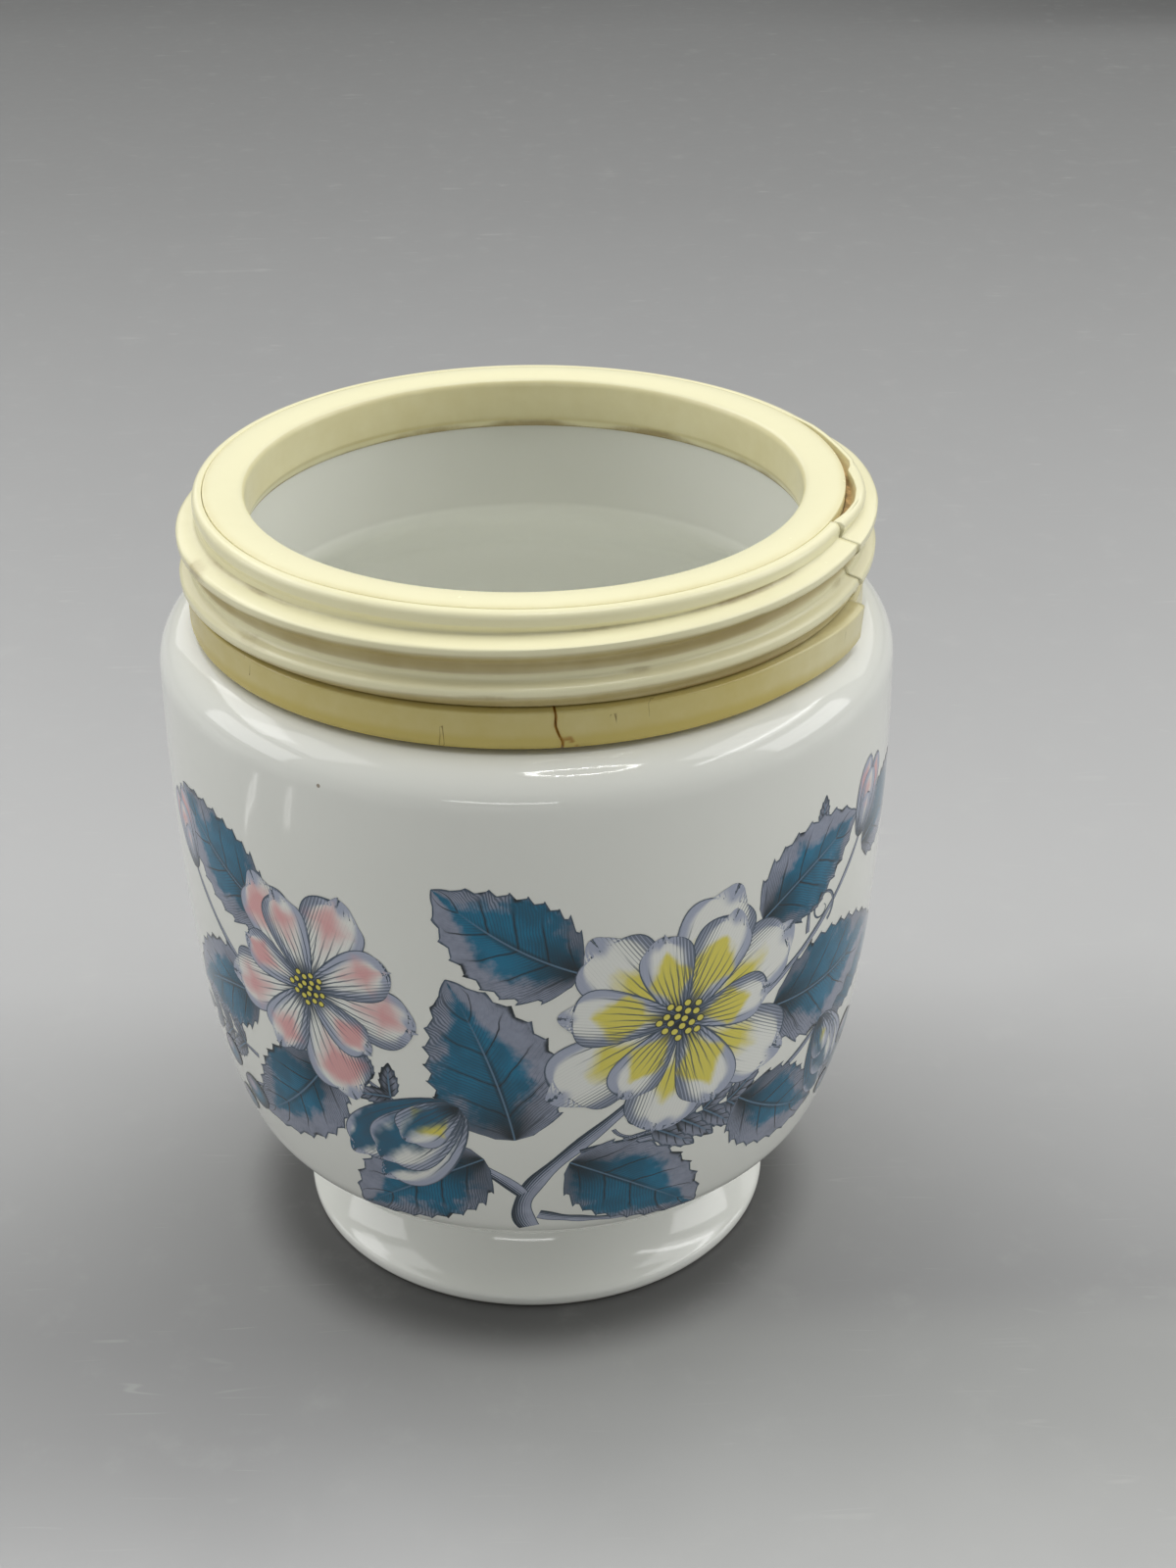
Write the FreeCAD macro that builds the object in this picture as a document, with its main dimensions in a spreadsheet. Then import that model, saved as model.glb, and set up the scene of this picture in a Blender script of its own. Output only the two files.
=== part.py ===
"""A porcelain egg coddler: a round pot on a flared foot, with a plastic screw collar cemented on its neck.

All sizes are in millimetres. The pot stands on z = 0 and its axis is +Z. The lid that screws on isn't
part of it.
"""

import FreeCAD, Part
import math
import os
import re
import Sketcher

Vector = FreeCAD.Vector

# Driving sizes: alias, value, what it is.
SIZES = [
    # the pot's foot
    ("foot_radius", 23.3, "widest radius of the foot's rim"),
    ("foot_rim", 1.2, "height of the foot's upright rim"),
    ("foot_round", 0.55, "rounding of the rim's two edges"),
    ("flare_curve", 8.2, "radius of the hollow curve that rises from the rim to the upright waist"),
    ("flare_width", 4.5, "how far the waist is set in from the rim"),
    ("waist_rise", 1.5, "height of the upright waist, up to its corner with the belly"),
    ("waist_round", 1.2, "rounding of that corner"),
    # the hollow under the foot
    ("ring_width", 3.2, "width of the foot ring where it stands"),
    ("recess_height", 9.0, "height of the hollow under the floor"),
    ("recess_taper", 4.6, "how much narrower that hollow is at its top"),
    ("recess_round", 1.6, "rounding in the corner of that hollow"),
    # the pot's body
    ("heel_rise", 2.2, "height from the waist's corner to the corner under the belly, before rounding"),
    ("heel_round", 7.0, "rounding of the corner under the belly"),
    ("belly_curve", 65.0, "radius of the lower side's curve"),
    ("belly_height", 30.0, "height where the lower curve takes over"),
    ("side_curve", 270.0, "radius of the upper side's curve"),
    ("widest_height", 54.0, "height of the widest ring"),
    ("body_radius", 33.5, "widest radius of the pot"),
    ("shoulder_height", 63.8, "height of the shoulder's outer corner, before rounding"),
    ("shoulder_round", 4.0, "rounding of the shoulder"),
    ("shoulder_rise", 0.7, "how much higher the shoulder is at the neck"),
    ("shoulder_width", 5.9, "how far the neck is set in from the widest ring"),
    # the pot's neck and hollow
    ("neck_height", 9.7, "height of the neck"),
    ("neck_wall", 2.3, "thickness of the neck"),
    ("throat_round", 2.0, "rounding where the neck opens into the hollow"),
    ("ceiling_round", 2.4, "rounding in the hollow's upper corner"),
    ("wall", 3.1, "thickness of the porcelain below the neck"),
    ("floor_thickness", 4.0, "thickness of the floor over the hollow under the foot"),
    ("floor_round", 8.0, "rounding of the floor's corner"),
    ("edge_round", 0.3, "softening of the porcelain's fine edges"),
    # the collar's cap
    ("glue_gap", 0.05, "gap between skirt and neck that the glue film fills"),
    ("skirt_wall", 0.55, "thickness of the skirt that lines the mouth"),
    ("skirt_length", 3.0, "how far the skirt reaches down below the neck's edge"),
    ("skirt_edge", 0.1, "width of the skirt's lower edge"),
    ("bevel_rise", 1.1, "height of the bevel above that edge"),
    ("flange_thickness", 2.0, "thickness of the flange at the parting line"),
    ("dome_fall", 0.2, "how much lower the flange is at the mouth than at the parting line"),
    ("dome_curve", 6.5, "radius of the flange's crown"),
    ("mouth_round", 0.8, "rounding of the flange into the mouth"),
    ("fine_round", 0.1, "softening of the plastic's fine edges"),
    ("parting_gap", 0.1, "gap between cap and sleeve at the parting line"),
    # the collar's threaded sleeve
    ("cement_width", 0.8, "width of the space between neck and sleeve"),
    ("lip_wall", 0.9, "thickness of the sleeve at its lip"),
    ("lip_depth", 1.2, "height of the lip's upright side"),
    ("lip_round", 0.65, "rounding of the lip's outer edge"),
    ("groove_wall", 0.65, "thickness of the sleeve in the groove under the lip"),
    ("groove_drop", 2.0, "how far the middle of that groove lies below the lip's top"),
    ("groove_width", 0.6, "width of the groove's flat"),
    ("root_wall", 1.5, "thickness of the sleeve between the thread's ridges"),
    ("root_rise", 2.0, "height over which the wall runs out to that thickness"),
    ("band_gap", 0.15, "gap under the plain band"),
    ("band_height", 3.7, "height of the plain band"),
    ("band_wall", 1.95, "thickness of the plain band"),
    ("band_step", 0.35, "height of the step at the band's upper edge"),
    ("band_round", 0.35, "rounding of the band's lower edge"),
    # the thread
    ("ridge_height", 1.0, "how far the thread's ridge stands out of the wall"),
    ("ridge_seat", 0.4, "how far outside the bore the ridge's buried foot lies"),
    ("crest_width", 0.8, "width of the ridge at its crest"),
    ("crest_bulge", 0.2, "how far the crest is rounded out"),
    ("upper_flank", 0.65, "height of the ridge's upper flank, down to its foot"),
    ("lower_flank", 1.7, "height of the ridge's lower flank, down to its foot"),
    ("thread_pitch", 3.6, "rise of the ridge in one turn"),
    ("thread_rise", 0.75, "how far above the band the ridge's middle starts"),
    ("thread_drop", 1.7, "how far below the lip's top the ridge's middle ends"),
    ("start_angle", 190.0, "where the ridge starts, in degrees from +X"),
    ("runout_turns", 0.1, "turns over which each end of the ridge sinks into the wall"),
    ("runout_sink", 1.3, "how far the ends sink"),
]

ALIASES = {alias for alias, _, _ in SIZES}
PART_NAMES = ("cup", "rim_cap", "thread_sleeve", "cement_bed")
OVERCUT = 1.0

doc = FreeCAD.newDocument("egg_coddler")


def make_sheet():
    """Put the driving sizes in a spreadsheet, one alias a row."""
    sheet = doc.addObject("Spreadsheet::Sheet", "sizes")
    for row, (alias, value, note) in enumerate(SIZES, start=1):
        sheet.set(f"A{row}", note)
        sheet.set(f"B{row}", str(value))
        sheet.setAlias(f"B{row}", alias)
    doc.recompute()
    return sheet


sheet = make_sheet()


def bound(text):
    """Turn an expression in plain aliases into one that names the sheet."""
    return re.sub("[a-z_]+", lambda word: f"sizes.{word[0]}" if word[0] in ALIASES else word[0], text)


def value_of(text):
    """The number that an expression stands for now."""
    return float(sheet.evalExpression(bound(text)))


def origin_plane(body, role):
    """One of a body's own base planes."""
    return next(feature for feature in body.Origin.OriginFeatures if feature.Role == role)


def arc_edge(start, end, radius, bulge):
    """An arc from start to end. Bulge +1 swells it to the right of the way there, -1 to the left."""
    chord = end - start
    to_right = Vector(chord.y, -chord.x, 0).normalize()
    depth = math.sqrt(radius ** 2 - (chord.Length / 2) ** 2)
    centre = (start + end) * 0.5 - to_right * (bulge * depth)
    first, last = (start, end) if bulge > 0 else (end, start)
    angles = [math.atan2(point.y - centre.y, point.x - centre.x) for point in (first, last)]
    if angles[1] < angles[0]:
        angles[1] += 2 * math.pi
    return Part.ArcOfCircle(Part.Circle(centre, Vector(0, 0, 1), radius), *angles)


def outline_sketch(body, name, corners, turn=None):
    """A closed outline on a body's XZ plane, drawn through its corners.

    Each corner is (radius, height) or (radius, height, curve, bulge). The curve and bulge describe the arc
    from that corner to the next one, and without them the edge is straight. The turn swings the outline's
    plane about the pot's axis.
    """
    sketch = body.newObject("Sketcher::SketchObject", name)
    sketch.AttachmentSupport = [(origin_plane(body, "XZ_Plane"), "")]
    sketch.MapMode = "FlatFace"
    places = [Vector(value_of(corner[0]), value_of(corner[1]), 0) for corner in corners]
    count = len(corners)
    for index, corner in enumerate(corners):
        start, end = places[index], places[(index + 1) % count]
        if len(corner) == 4:
            sketch.addGeometry(arc_edge(start, end, value_of(corner[2]), corner[3]), False)
        else:
            sketch.addGeometry(Part.LineSegment(start, end), False)
    # An arc always runs anticlockwise, so which of its ends is the corner's own is looked up.
    heads = []
    tails = []
    for index in range(count):
        edge = sketch.Geometry[index]
        forward = (edge.StartPoint - places[index]).Length < (edge.EndPoint - places[index]).Length
        heads.append(1 if forward else 2)
        tails.append(2 if forward else 1)
    for index in range(count):
        following = (index + 1) % count
        sketch.addConstraint(
            Sketcher.Constraint("Coincident", index, tails[index], following, heads[following]))
    for index, corner in enumerate(corners):
        for axis, size in (("DistanceX", places[index].x), ("DistanceY", places[index].y)):
            text = corner[0] if axis == "DistanceX" else corner[1]
            number = sketch.addConstraint(
                Sketcher.Constraint(axis, -1, 1, index, heads[index], size))
            sketch.setExpression(f"Constraints[{number}]", bound(text))
        if len(corner) == 4:
            number = sketch.addConstraint(Sketcher.Constraint("Radius", index, value_of(corner[2])))
            sketch.setExpression(f"Constraints[{number}]", bound(corner[2]))
    if turn is not None:
        swing = FreeCAD.Rotation(Vector(0, 1, 0), value_of(turn))
        sketch.AttachmentOffset = FreeCAD.Placement(Vector(), swing)
        sketch.setExpression("AttachmentOffset.Rotation.Angle", bound(turn))
    doc.recompute()
    return sketch


def turned(body, kind, name, sketch):
    """A full turn of a sketch about the pot's axis: kind is Revolution or Groove."""
    feature = body.newObject(f"PartDesign::{kind}", name)
    feature.Profile = sketch
    feature.ReferenceAxis = (sketch, ["V_Axis"])
    feature.Angle = 360
    doc.recompute()
    return feature


def ring_names(feature, rings):
    """Names of a feature's full circles at the given (radius, height) pairs."""
    names = []
    for radius, height in rings:
        place = (value_of(radius), value_of(height))
        found = None
        for number, edge in enumerate(feature.Shape.Edges, start=1):
            curve = edge.Curve
            if isinstance(curve, Part.Circle):
                off = math.hypot(curve.Radius - place[0], curve.Center.z - place[1])
                if off < 1e-4:
                    found = f"Edge{number}"
        if found is None:
            raise ValueError(f"{feature.Name} has no ring at {radius}, {height}")
        names.append(found)
    return names


def rounded(body, name, base, rings, radius):
    """Round a feature's rings with one radius."""
    feature = body.newObject("PartDesign::Fillet", name)
    feature.Base = (base, ring_names(base, rings))
    feature.Radius = value_of(radius)
    feature.setExpression("Radius", bound(radius))
    doc.recompute()
    return feature


def new_body(label):
    """An empty body with its own label."""
    body = doc.addObject("PartDesign::Body", label)
    body.Label = label
    return body


# The flare's centre is level with the point where the flare runs upright into the waist.
WAIST_RADIUS = "(foot_radius - flare_width)"
FLARE_TOP = "(foot_rim + sqrt(flare_curve ^ 2 - (flare_curve - flare_width) ^ 2))"
WAIST_HEIGHT = f"({FLARE_TOP} + waist_rise)"
HEEL_HEIGHT = f"({WAIST_HEIGHT} + heel_rise)"
FLOOR_HEIGHT = "(recess_height + floor_thickness)"

# The side of the pot is two arcs that meet smoothly. The upper arc's centre is level with the widest ring,
# and the lower arc's centre lies on the line from that centre through the point where the two arcs meet.
UPPER_CENTRE = "(body_radius - side_curve)"
BELLY_DROP = "(widest_height - belly_height)"
LOWER_SHARE = "((side_curve - belly_curve) / side_curve)"
LOWER_CENTRE = f"({UPPER_CENTRE} + {LOWER_SHARE} * sqrt(side_curve ^ 2 - {BELLY_DROP} ^ 2))"
LOWER_LEVEL = f"(widest_height - {LOWER_SHARE} * {BELLY_DROP})"

# The neck is set in from the widest ring, and the collar's pieces follow the neck.
NECK_RADIUS = "(body_radius - shoulder_width)"
NECK_FOOT = "(shoulder_height + shoulder_rise)"
NECK_TOP = f"({NECK_FOOT} + neck_height)"
THROAT_RADIUS = f"({NECK_RADIUS} - neck_wall)"
SKIRT_RADIUS = f"({THROAT_RADIUS} - glue_gap)"
CAP_BORE = f"({SKIRT_RADIUS} - skirt_wall)"
SKIRT_FOOT = f"({NECK_TOP} - skirt_length)"
LIP_HEIGHT = f"({NECK_TOP} + flange_thickness)"
SLEEVE_BORE = f"({NECK_RADIUS} + cement_width)"
LIP_RADIUS = f"({SLEEVE_BORE} + lip_wall)"
GROOVE_RADIUS = f"({SLEEVE_BORE} + groove_wall)"
GROOVE_FOOT = f"({LIP_HEIGHT} - groove_drop - groove_width / 2)"
ROOT_RADIUS = f"({SLEEVE_BORE} + root_wall)"
BAND_RADIUS = f"({SLEEVE_BORE} + band_wall)"
BAND_FOOT = f"({NECK_FOOT} + band_gap)"
BAND_TOP = f"({BAND_FOOT} + band_height)"
CREST_RADIUS = f"({ROOT_RADIUS} + ridge_height)"
RIDGE_FOOT = f"({SLEEVE_BORE} + ridge_seat)"
THREAD_START = f"({BAND_TOP} + thread_rise)"
THREAD_END = f"({LIP_HEIGHT} - thread_drop)"
THREAD_HEIGHT = f"({THREAD_END} - {THREAD_START})"


def upper_side(height, inset="0"):
    """Radius of the upper side at a height, set in by a wall."""
    return f"({UPPER_CENTRE} + sqrt((side_curve - {inset}) ^ 2 - ({height} - widest_height) ^ 2))"


def lower_side(height, inset="0"):
    """Radius of the lower side at a height, set in by a wall."""
    return f"({LOWER_CENTRE} + sqrt((belly_curve - {inset}) ^ 2 - ({height} - {LOWER_LEVEL}) ^ 2))"


def meeting_point(inset="0"):
    """Where the two arcs of the side meet, set in by a wall."""
    reach = f"((belly_curve - {inset}) / side_curve)"
    radius = f"({LOWER_CENTRE} + {reach} * sqrt(side_curve ^ 2 - {BELLY_DROP} ^ 2))"
    height = f"({LOWER_LEVEL} - {reach} * {BELLY_DROP})"
    return radius, height


def make_cup():
    """The porcelain pot: one turned outside, the hollow, the hollow under the foot and their roundings."""
    body = new_body("cup")
    waist = (WAIST_RADIUS, WAIST_HEIGHT)
    heel = (lower_side(HEEL_HEIGHT), HEEL_HEIGHT)
    shoulder = (upper_side("shoulder_height"), "shoulder_height")
    outside = turned(body, "Revolution", "cup_outside", outline_sketch(body, "cup_outside_outline", [
        ("0", "0"),
        ("foot_radius", "0"),
        ("foot_radius", "foot_rim", "flare_curve", -1),
        (WAIST_RADIUS, FLARE_TOP),
        waist,
        (*heel, "belly_curve", 1),
        (*meeting_point(), "side_curve", 1),
        shoulder,
        (NECK_RADIUS, NECK_FOOT),
        (NECK_RADIUS, NECK_TOP),
        ("0", NECK_TOP),
    ]))
    steps = rounded(body, "cup_heel", outside, [heel], "heel_round")
    steps = rounded(body, "cup_shoulder", steps, [shoulder], "shoulder_round")
    steps = rounded(body, "cup_waist", steps, [waist], "waist_round")
    steps = rounded(body, "cup_foot_rim", steps,
                    [("foot_radius", "0"), ("foot_radius", "foot_rim")], "foot_round")

    throat = (THROAT_RADIUS, f"({NECK_FOOT} - wall)")
    floor_corner = (lower_side(FLOOR_HEIGHT, "wall"), FLOOR_HEIGHT)
    ceiling_height = "(shoulder_height - wall)"
    ceiling_corner = (upper_side(ceiling_height, "wall"), ceiling_height)
    steps = turned(body, "Groove", "cup_hollow", outline_sketch(body, "cup_hollow_outline", [
        ("0", FLOOR_HEIGHT),
        (*floor_corner, "(belly_curve - wall)", 1),
        (*meeting_point("wall"), "(side_curve - wall)", 1),
        ceiling_corner,
        throat,
        (THROAT_RADIUS, f"({NECK_TOP} + {OVERCUT})"),
        ("0", f"({NECK_TOP} + {OVERCUT})"),
    ]))
    steps = rounded(body, "cup_floor_corner", steps, [floor_corner], "floor_round")
    steps = rounded(body, "cup_ceiling_corner", steps, [ceiling_corner], "ceiling_round")
    steps = rounded(body, "cup_throat", steps, [throat], "throat_round")

    ring_inside = ("(foot_radius - ring_width)", "0")
    recess_top = ("(foot_radius - ring_width - recess_taper)", "recess_height")
    steps = turned(body, "Groove", "cup_recess", outline_sketch(body, "cup_recess_outline", [
        ("0", "0"),
        ring_inside,
        recess_top,
        ("0", "recess_height"),
    ]))
    steps = rounded(body, "cup_recess_corner", steps, [recess_top], "recess_round")
    rounded(body, "cup_fine_edges", steps, [
        ring_inside,
        (NECK_RADIUS, NECK_TOP),
        (THROAT_RADIUS, NECK_TOP),
        (NECK_RADIUS, NECK_FOOT),
    ], "edge_round")


def make_rim_cap():
    """The collar's cap: a crowned flange on the neck's edge and a skirt down the inside of the mouth."""
    body = new_body("rim_cap")
    parting_edge = (f"({SLEEVE_BORE} - parting_gap)", LIP_HEIGHT)
    mouth_edge = (CAP_BORE, f"({LIP_HEIGHT} - dome_fall)")
    steps = turned(body, "Revolution", "rim_cap_solid", outline_sketch(body, "rim_cap_outline", [
        (f"({SKIRT_RADIUS} - skirt_edge)", SKIRT_FOOT),
        (SKIRT_RADIUS, SKIRT_FOOT),
        (SKIRT_RADIUS, NECK_TOP),
        (f"({SLEEVE_BORE} - parting_gap)", NECK_TOP),
        (*parting_edge, "dome_curve", 1),
        mouth_edge,
        (CAP_BORE, f"({SKIRT_FOOT} + bevel_rise)"),
    ]))
    steps = rounded(body, "rim_cap_mouth", steps, [mouth_edge], "mouth_round")
    rounded(body, "rim_cap_parting_edge", steps, [parting_edge], "fine_round")


def ridge_section(body, name, middle, turn):
    """The ridge's section, with its crest rounded out, at a height and at a turn about the axis."""
    side_radius = f"({CREST_RADIUS} - crest_bulge)"
    crest_curve = "((crest_width ^ 2 / 4 + crest_bulge ^ 2) / (2 * crest_bulge))"
    return outline_sketch(body, name, [
        (RIDGE_FOOT, f"({middle} - crest_width / 2 - lower_flank)"),
        (side_radius, f"({middle} - crest_width / 2)", crest_curve, 1),
        (side_radius, f"({middle} + crest_width / 2)"),
        (RIDGE_FOOT, f"({middle} + crest_width / 2 + upper_flank)"),
    ], turn)


def helix(body, name, section, height, lean="0 deg", downward=False):
    """Carry a section up or down a right-hand helix that narrows by its lean, in degrees."""
    feature = body.newObject("PartDesign::AdditiveHelix", name)
    feature.Profile = section
    feature.ReferenceAxis = (section, ["V_Axis"])
    feature.Mode = "pitch-height-angle"
    feature.Reversed = downward
    feature.setExpression("Pitch", bound("thread_pitch"))
    feature.setExpression("Height", bound(height))
    feature.setExpression("Angle", bound(lean))
    doc.recompute()


def make_thread_sleeve():
    """The collar's outer shell: lip, groove, wall and plain band, with a right-hand thread round the wall."""
    body = new_body("thread_sleeve")
    rough_bore = f"({RIDGE_FOOT} - runout_sink)"
    lip_edge = (LIP_RADIUS, LIP_HEIGHT)
    band_edge = (BAND_RADIUS, BAND_FOOT)
    steps = turned(body, "Revolution", "sleeve_wall", outline_sketch(body, "sleeve_outline", [
        (rough_bore, BAND_FOOT),
        band_edge,
        (BAND_RADIUS, BAND_TOP),
        (ROOT_RADIUS, f"({BAND_TOP} + band_step)"),
        (ROOT_RADIUS, f"({GROOVE_FOOT} - root_rise)"),
        (GROOVE_RADIUS, GROOVE_FOOT),
        (GROOVE_RADIUS, f"({GROOVE_FOOT} + groove_width)"),
        (LIP_RADIUS, f"({LIP_HEIGHT} - lip_depth)"),
        lip_edge,
        (rough_bore, LIP_HEIGHT),
    ]))
    steps = rounded(body, "sleeve_lip", steps, [lip_edge], "lip_round")
    rounded(body, "sleeve_band_edge", steps, [band_edge], "band_round")

    end_angle = f"(start_angle + 360 * {THREAD_HEIGHT} / thread_pitch)"
    runout_height = "(thread_pitch * runout_turns)"
    runout_lean = f"(-1 * atan(runout_sink / {runout_height}))"
    start = ridge_section(body, "thread_section", THREAD_START, "start_angle")
    helix(body, "thread_ridge", start, THREAD_HEIGHT)
    start = ridge_section(body, "lower_runout_section", THREAD_START, "start_angle")
    helix(body, "thread_lower_runout", start, runout_height, runout_lean, downward=True)
    end = ridge_section(body, "upper_runout_section", THREAD_END, end_angle)
    helix(body, "thread_upper_runout", end, runout_height, runout_lean)

    steps = turned(body, "Groove", "sleeve_bore_cut", outline_sketch(body, "sleeve_bore_outline", [
        ("0", f"({BAND_FOOT} - {OVERCUT})"),
        (SLEEVE_BORE, f"({BAND_FOOT} - {OVERCUT})"),
        (SLEEVE_BORE, f"({LIP_HEIGHT} + {OVERCUT})"),
        ("0", f"({LIP_HEIGHT} + {OVERCUT})"),
    ]))
    rounded(body, "sleeve_parting_edge", steps, [(SLEEVE_BORE, LIP_HEIGHT)], "fine_round")


def make_cement_bed():
    """The setting compound that fills the space between neck and sleeve."""
    body = new_body("cement_bed")
    bed_foot = f"({NECK_FOOT} + edge_round)"
    bed_top = f"({NECK_TOP} - edge_round)"
    turned(body, "Revolution", "cement_solid", outline_sketch(body, "cement_outline", [
        (NECK_RADIUS, bed_foot),
        (SLEEVE_BORE, bed_foot),
        (SLEEVE_BORE, bed_top),
        (NECK_RADIUS, bed_top),
    ]))


def check_document():
    """Stop if any object failed or any part is broken."""
    for item in doc.Objects:
        if "Invalid" in item.State or "Error" in item.State:
            raise RuntimeError(f"{item.Name} didn't build: {item.State}")
    for name in PART_NAMES:
        shape = doc.getObject(name).Shape
        if shape.isNull() or not shape.isValid() or len(shape.Solids) != 1:
            raise RuntimeError(f"{name} isn't one sound solid")


def write_parts():
    """Write each part to its own STEP file."""
    os.makedirs("parts", exist_ok=True)
    for name in PART_NAMES:
        shape = doc.getObject(name).Shape
        shape.exportStep(f"parts/{name}.step")
        box = shape.BoundBox
        print(f"{name}: volume {shape.Volume:.1f}, z {box.ZMin:.2f} to {box.ZMax:.2f}")


make_cup()
make_rim_cap()
make_thread_sleeve()
make_cement_bed()
doc.recompute()
check_document()
write_parts()
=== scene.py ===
"""Visual model of a porcelain egg coddler: a printed, glazed pot with a worn plastic screw collar."""

import bisect
import math
from types import SimpleNamespace

import bmesh
import bpy
from bpy.props import FloatProperty, FloatVectorProperty, IntProperty, PointerProperty
from mathutils import Matrix, Vector


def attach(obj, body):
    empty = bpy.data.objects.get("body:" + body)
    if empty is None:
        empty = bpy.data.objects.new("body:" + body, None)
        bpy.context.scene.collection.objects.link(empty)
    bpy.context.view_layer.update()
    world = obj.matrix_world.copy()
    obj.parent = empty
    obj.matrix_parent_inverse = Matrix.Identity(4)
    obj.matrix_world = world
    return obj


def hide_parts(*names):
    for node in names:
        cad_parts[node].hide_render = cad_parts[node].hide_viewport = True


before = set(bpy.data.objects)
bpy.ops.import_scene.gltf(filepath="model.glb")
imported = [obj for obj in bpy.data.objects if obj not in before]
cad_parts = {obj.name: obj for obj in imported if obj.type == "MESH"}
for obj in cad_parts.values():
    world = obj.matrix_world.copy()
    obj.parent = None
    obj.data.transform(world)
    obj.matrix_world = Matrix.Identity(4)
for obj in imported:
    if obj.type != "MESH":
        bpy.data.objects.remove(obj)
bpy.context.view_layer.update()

bl_info = {
    "name": "Egg Coddler",
    "version": (1, 0, 0),
    "blender": (4, 5, 0),
    "location": "View3D > Sidebar > Coddler",
    "description": "Models a porcelain egg coddler pot with a cemented plastic screw collar",
    "category": "Object",
}

MM = 0.001
PATH_STEP = 0.8 * MM
PRINT_STEP = 0.0016 * MM
WELD = 1e-7
BODY = "root"
BLACK = (0.0, 0.0, 0.0)
GLAZE_ROUGHNESS = 0.08
GLAZE_INDEX = 1.52


def screen(red, green, blue):
    """A colour given in screen values from 0 to 255, as the linear values that shaders use."""
    def linear(value):
        share = value / 255
        return share / 12.92 if share <= 0.04045 else ((share + 0.055) / 1.055) ** 2.4
    return linear(red), linear(green), linear(blue)


def dimmed(shade, share):
    """A colour times a number."""
    return [value * share for value in shade]


def length(name, description, millimetres):
    """A length property whose default is given in millimetres."""
    return FloatProperty(name=name, description=description, default=millimetres * MM,
                         min=0.0, unit="LENGTH", precision=5)


def colour(name, description, red, green, blue):
    """A colour property whose default is given in screen values."""
    return FloatVectorProperty(name=name, description=description, subtype="COLOR", size=3,
                               default=screen(red, green, blue), min=0.0, max=1.0)


def angle_of(name, description, degrees):
    """An angle property whose default is given in degrees."""
    return FloatProperty(name=name, description=description, default=math.radians(degrees), subtype="ANGLE")


def number(name, description, value):
    """A property that is a plain number."""
    return FloatProperty(name=name, description=description, default=value)


# ---------------------------------------------------------------- sizes and colours


class PotSettings(bpy.types.PropertyGroup):
    """Sizes and colours of the porcelain pot."""
    foot_radius: length("Foot radius", "Widest radius of the foot's rim", 23.3)
    foot_rim: length("Foot rim", "Height of the foot's upright rim", 1.2)
    foot_round: length("Foot rounding", "Rounding of the rim's edges", 0.55)
    flare_curve: length("Flare curve", "Radius of the hollow curve above the rim", 8.2)
    flare_width: length("Flare width", "How far the waist is set in from the rim", 4.5)
    waist_rise: length("Waist", "Height of the upright waist", 1.5)
    waist_round: length("Waist rounding", "Rounding between waist and belly", 1.2)
    ring_width: length("Ring width", "Width of the foot ring", 3.2)
    recess_height: length("Recess height", "Height of the hollow under the floor", 9.0)
    recess_taper: length("Recess taper", "How much narrower that hollow is at its top", 4.6)
    recess_round: length("Recess rounding", "Rounding in the corner of that hollow", 1.6)
    heel_rise: length("Heel rise", "Height from the waist's corner to the corner under the belly", 2.2)
    heel_round: length("Heel rounding", "Rounding of the corner under the belly", 7.0)
    belly_curve: length("Belly curve", "Radius of the lower side's curve", 65.0)
    belly_height: length("Belly height", "Height where the lower curve takes over", 30.0)
    side_curve: length("Side curve", "Radius of the upper side's curve", 270.0)
    widest_height: length("Widest height", "Height of the widest ring", 54.0)
    body_radius: length("Body radius", "Widest radius of the pot", 33.5)
    shoulder_height: length("Shoulder height", "Height of the shoulder's outer corner", 63.8)
    shoulder_round: length("Shoulder rounding", "Rounding of the shoulder", 4.0)
    shoulder_rise: length("Shoulder rise", "How much higher the shoulder is at the neck", 0.7)
    shoulder_width: length("Shoulder width", "How far the neck is set in from the widest ring", 5.9)
    neck_height: length("Neck height", "Height of the neck", 9.7)
    neck_wall: length("Neck wall", "Thickness of the neck", 2.3)
    throat_round: length("Throat rounding", "Rounding where the neck opens into the hollow", 4.0)
    ceiling_slope: length("Ceiling slope", "How far the hollow opens out below the shoulder", 4.6)
    ceiling_round: length("Ceiling rounding", "Rounding in the hollow's upper corner", 5.0)
    wall: length("Wall", "Thickness of the porcelain below the neck", 3.1)
    floor_thickness: length("Floor thickness", "Thickness of the floor", 4.0)
    floor_round: length("Floor rounding", "Rounding of the floor's corner", 8.0)
    edge_round: length("Edge rounding", "Softening of the fine edges", 0.3)
    segments: IntProperty(name="Segments", description="Steps round the pot", default=256, min=32)
    glaze: colour("Glaze", "Colour of the glazed porcelain", 236, 237, 230)
    bisque: colour("Bisque", "Colour of the unglazed ring that the pot stands on", 214, 206, 190)
    # Painted light: this lighter glaze goes inside the hollow and on the foot's flare.
    painted_light_glaze: colour("Fresh glaze", "Colour of the glaze inside and on the foot", 250, 251, 245)


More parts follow.
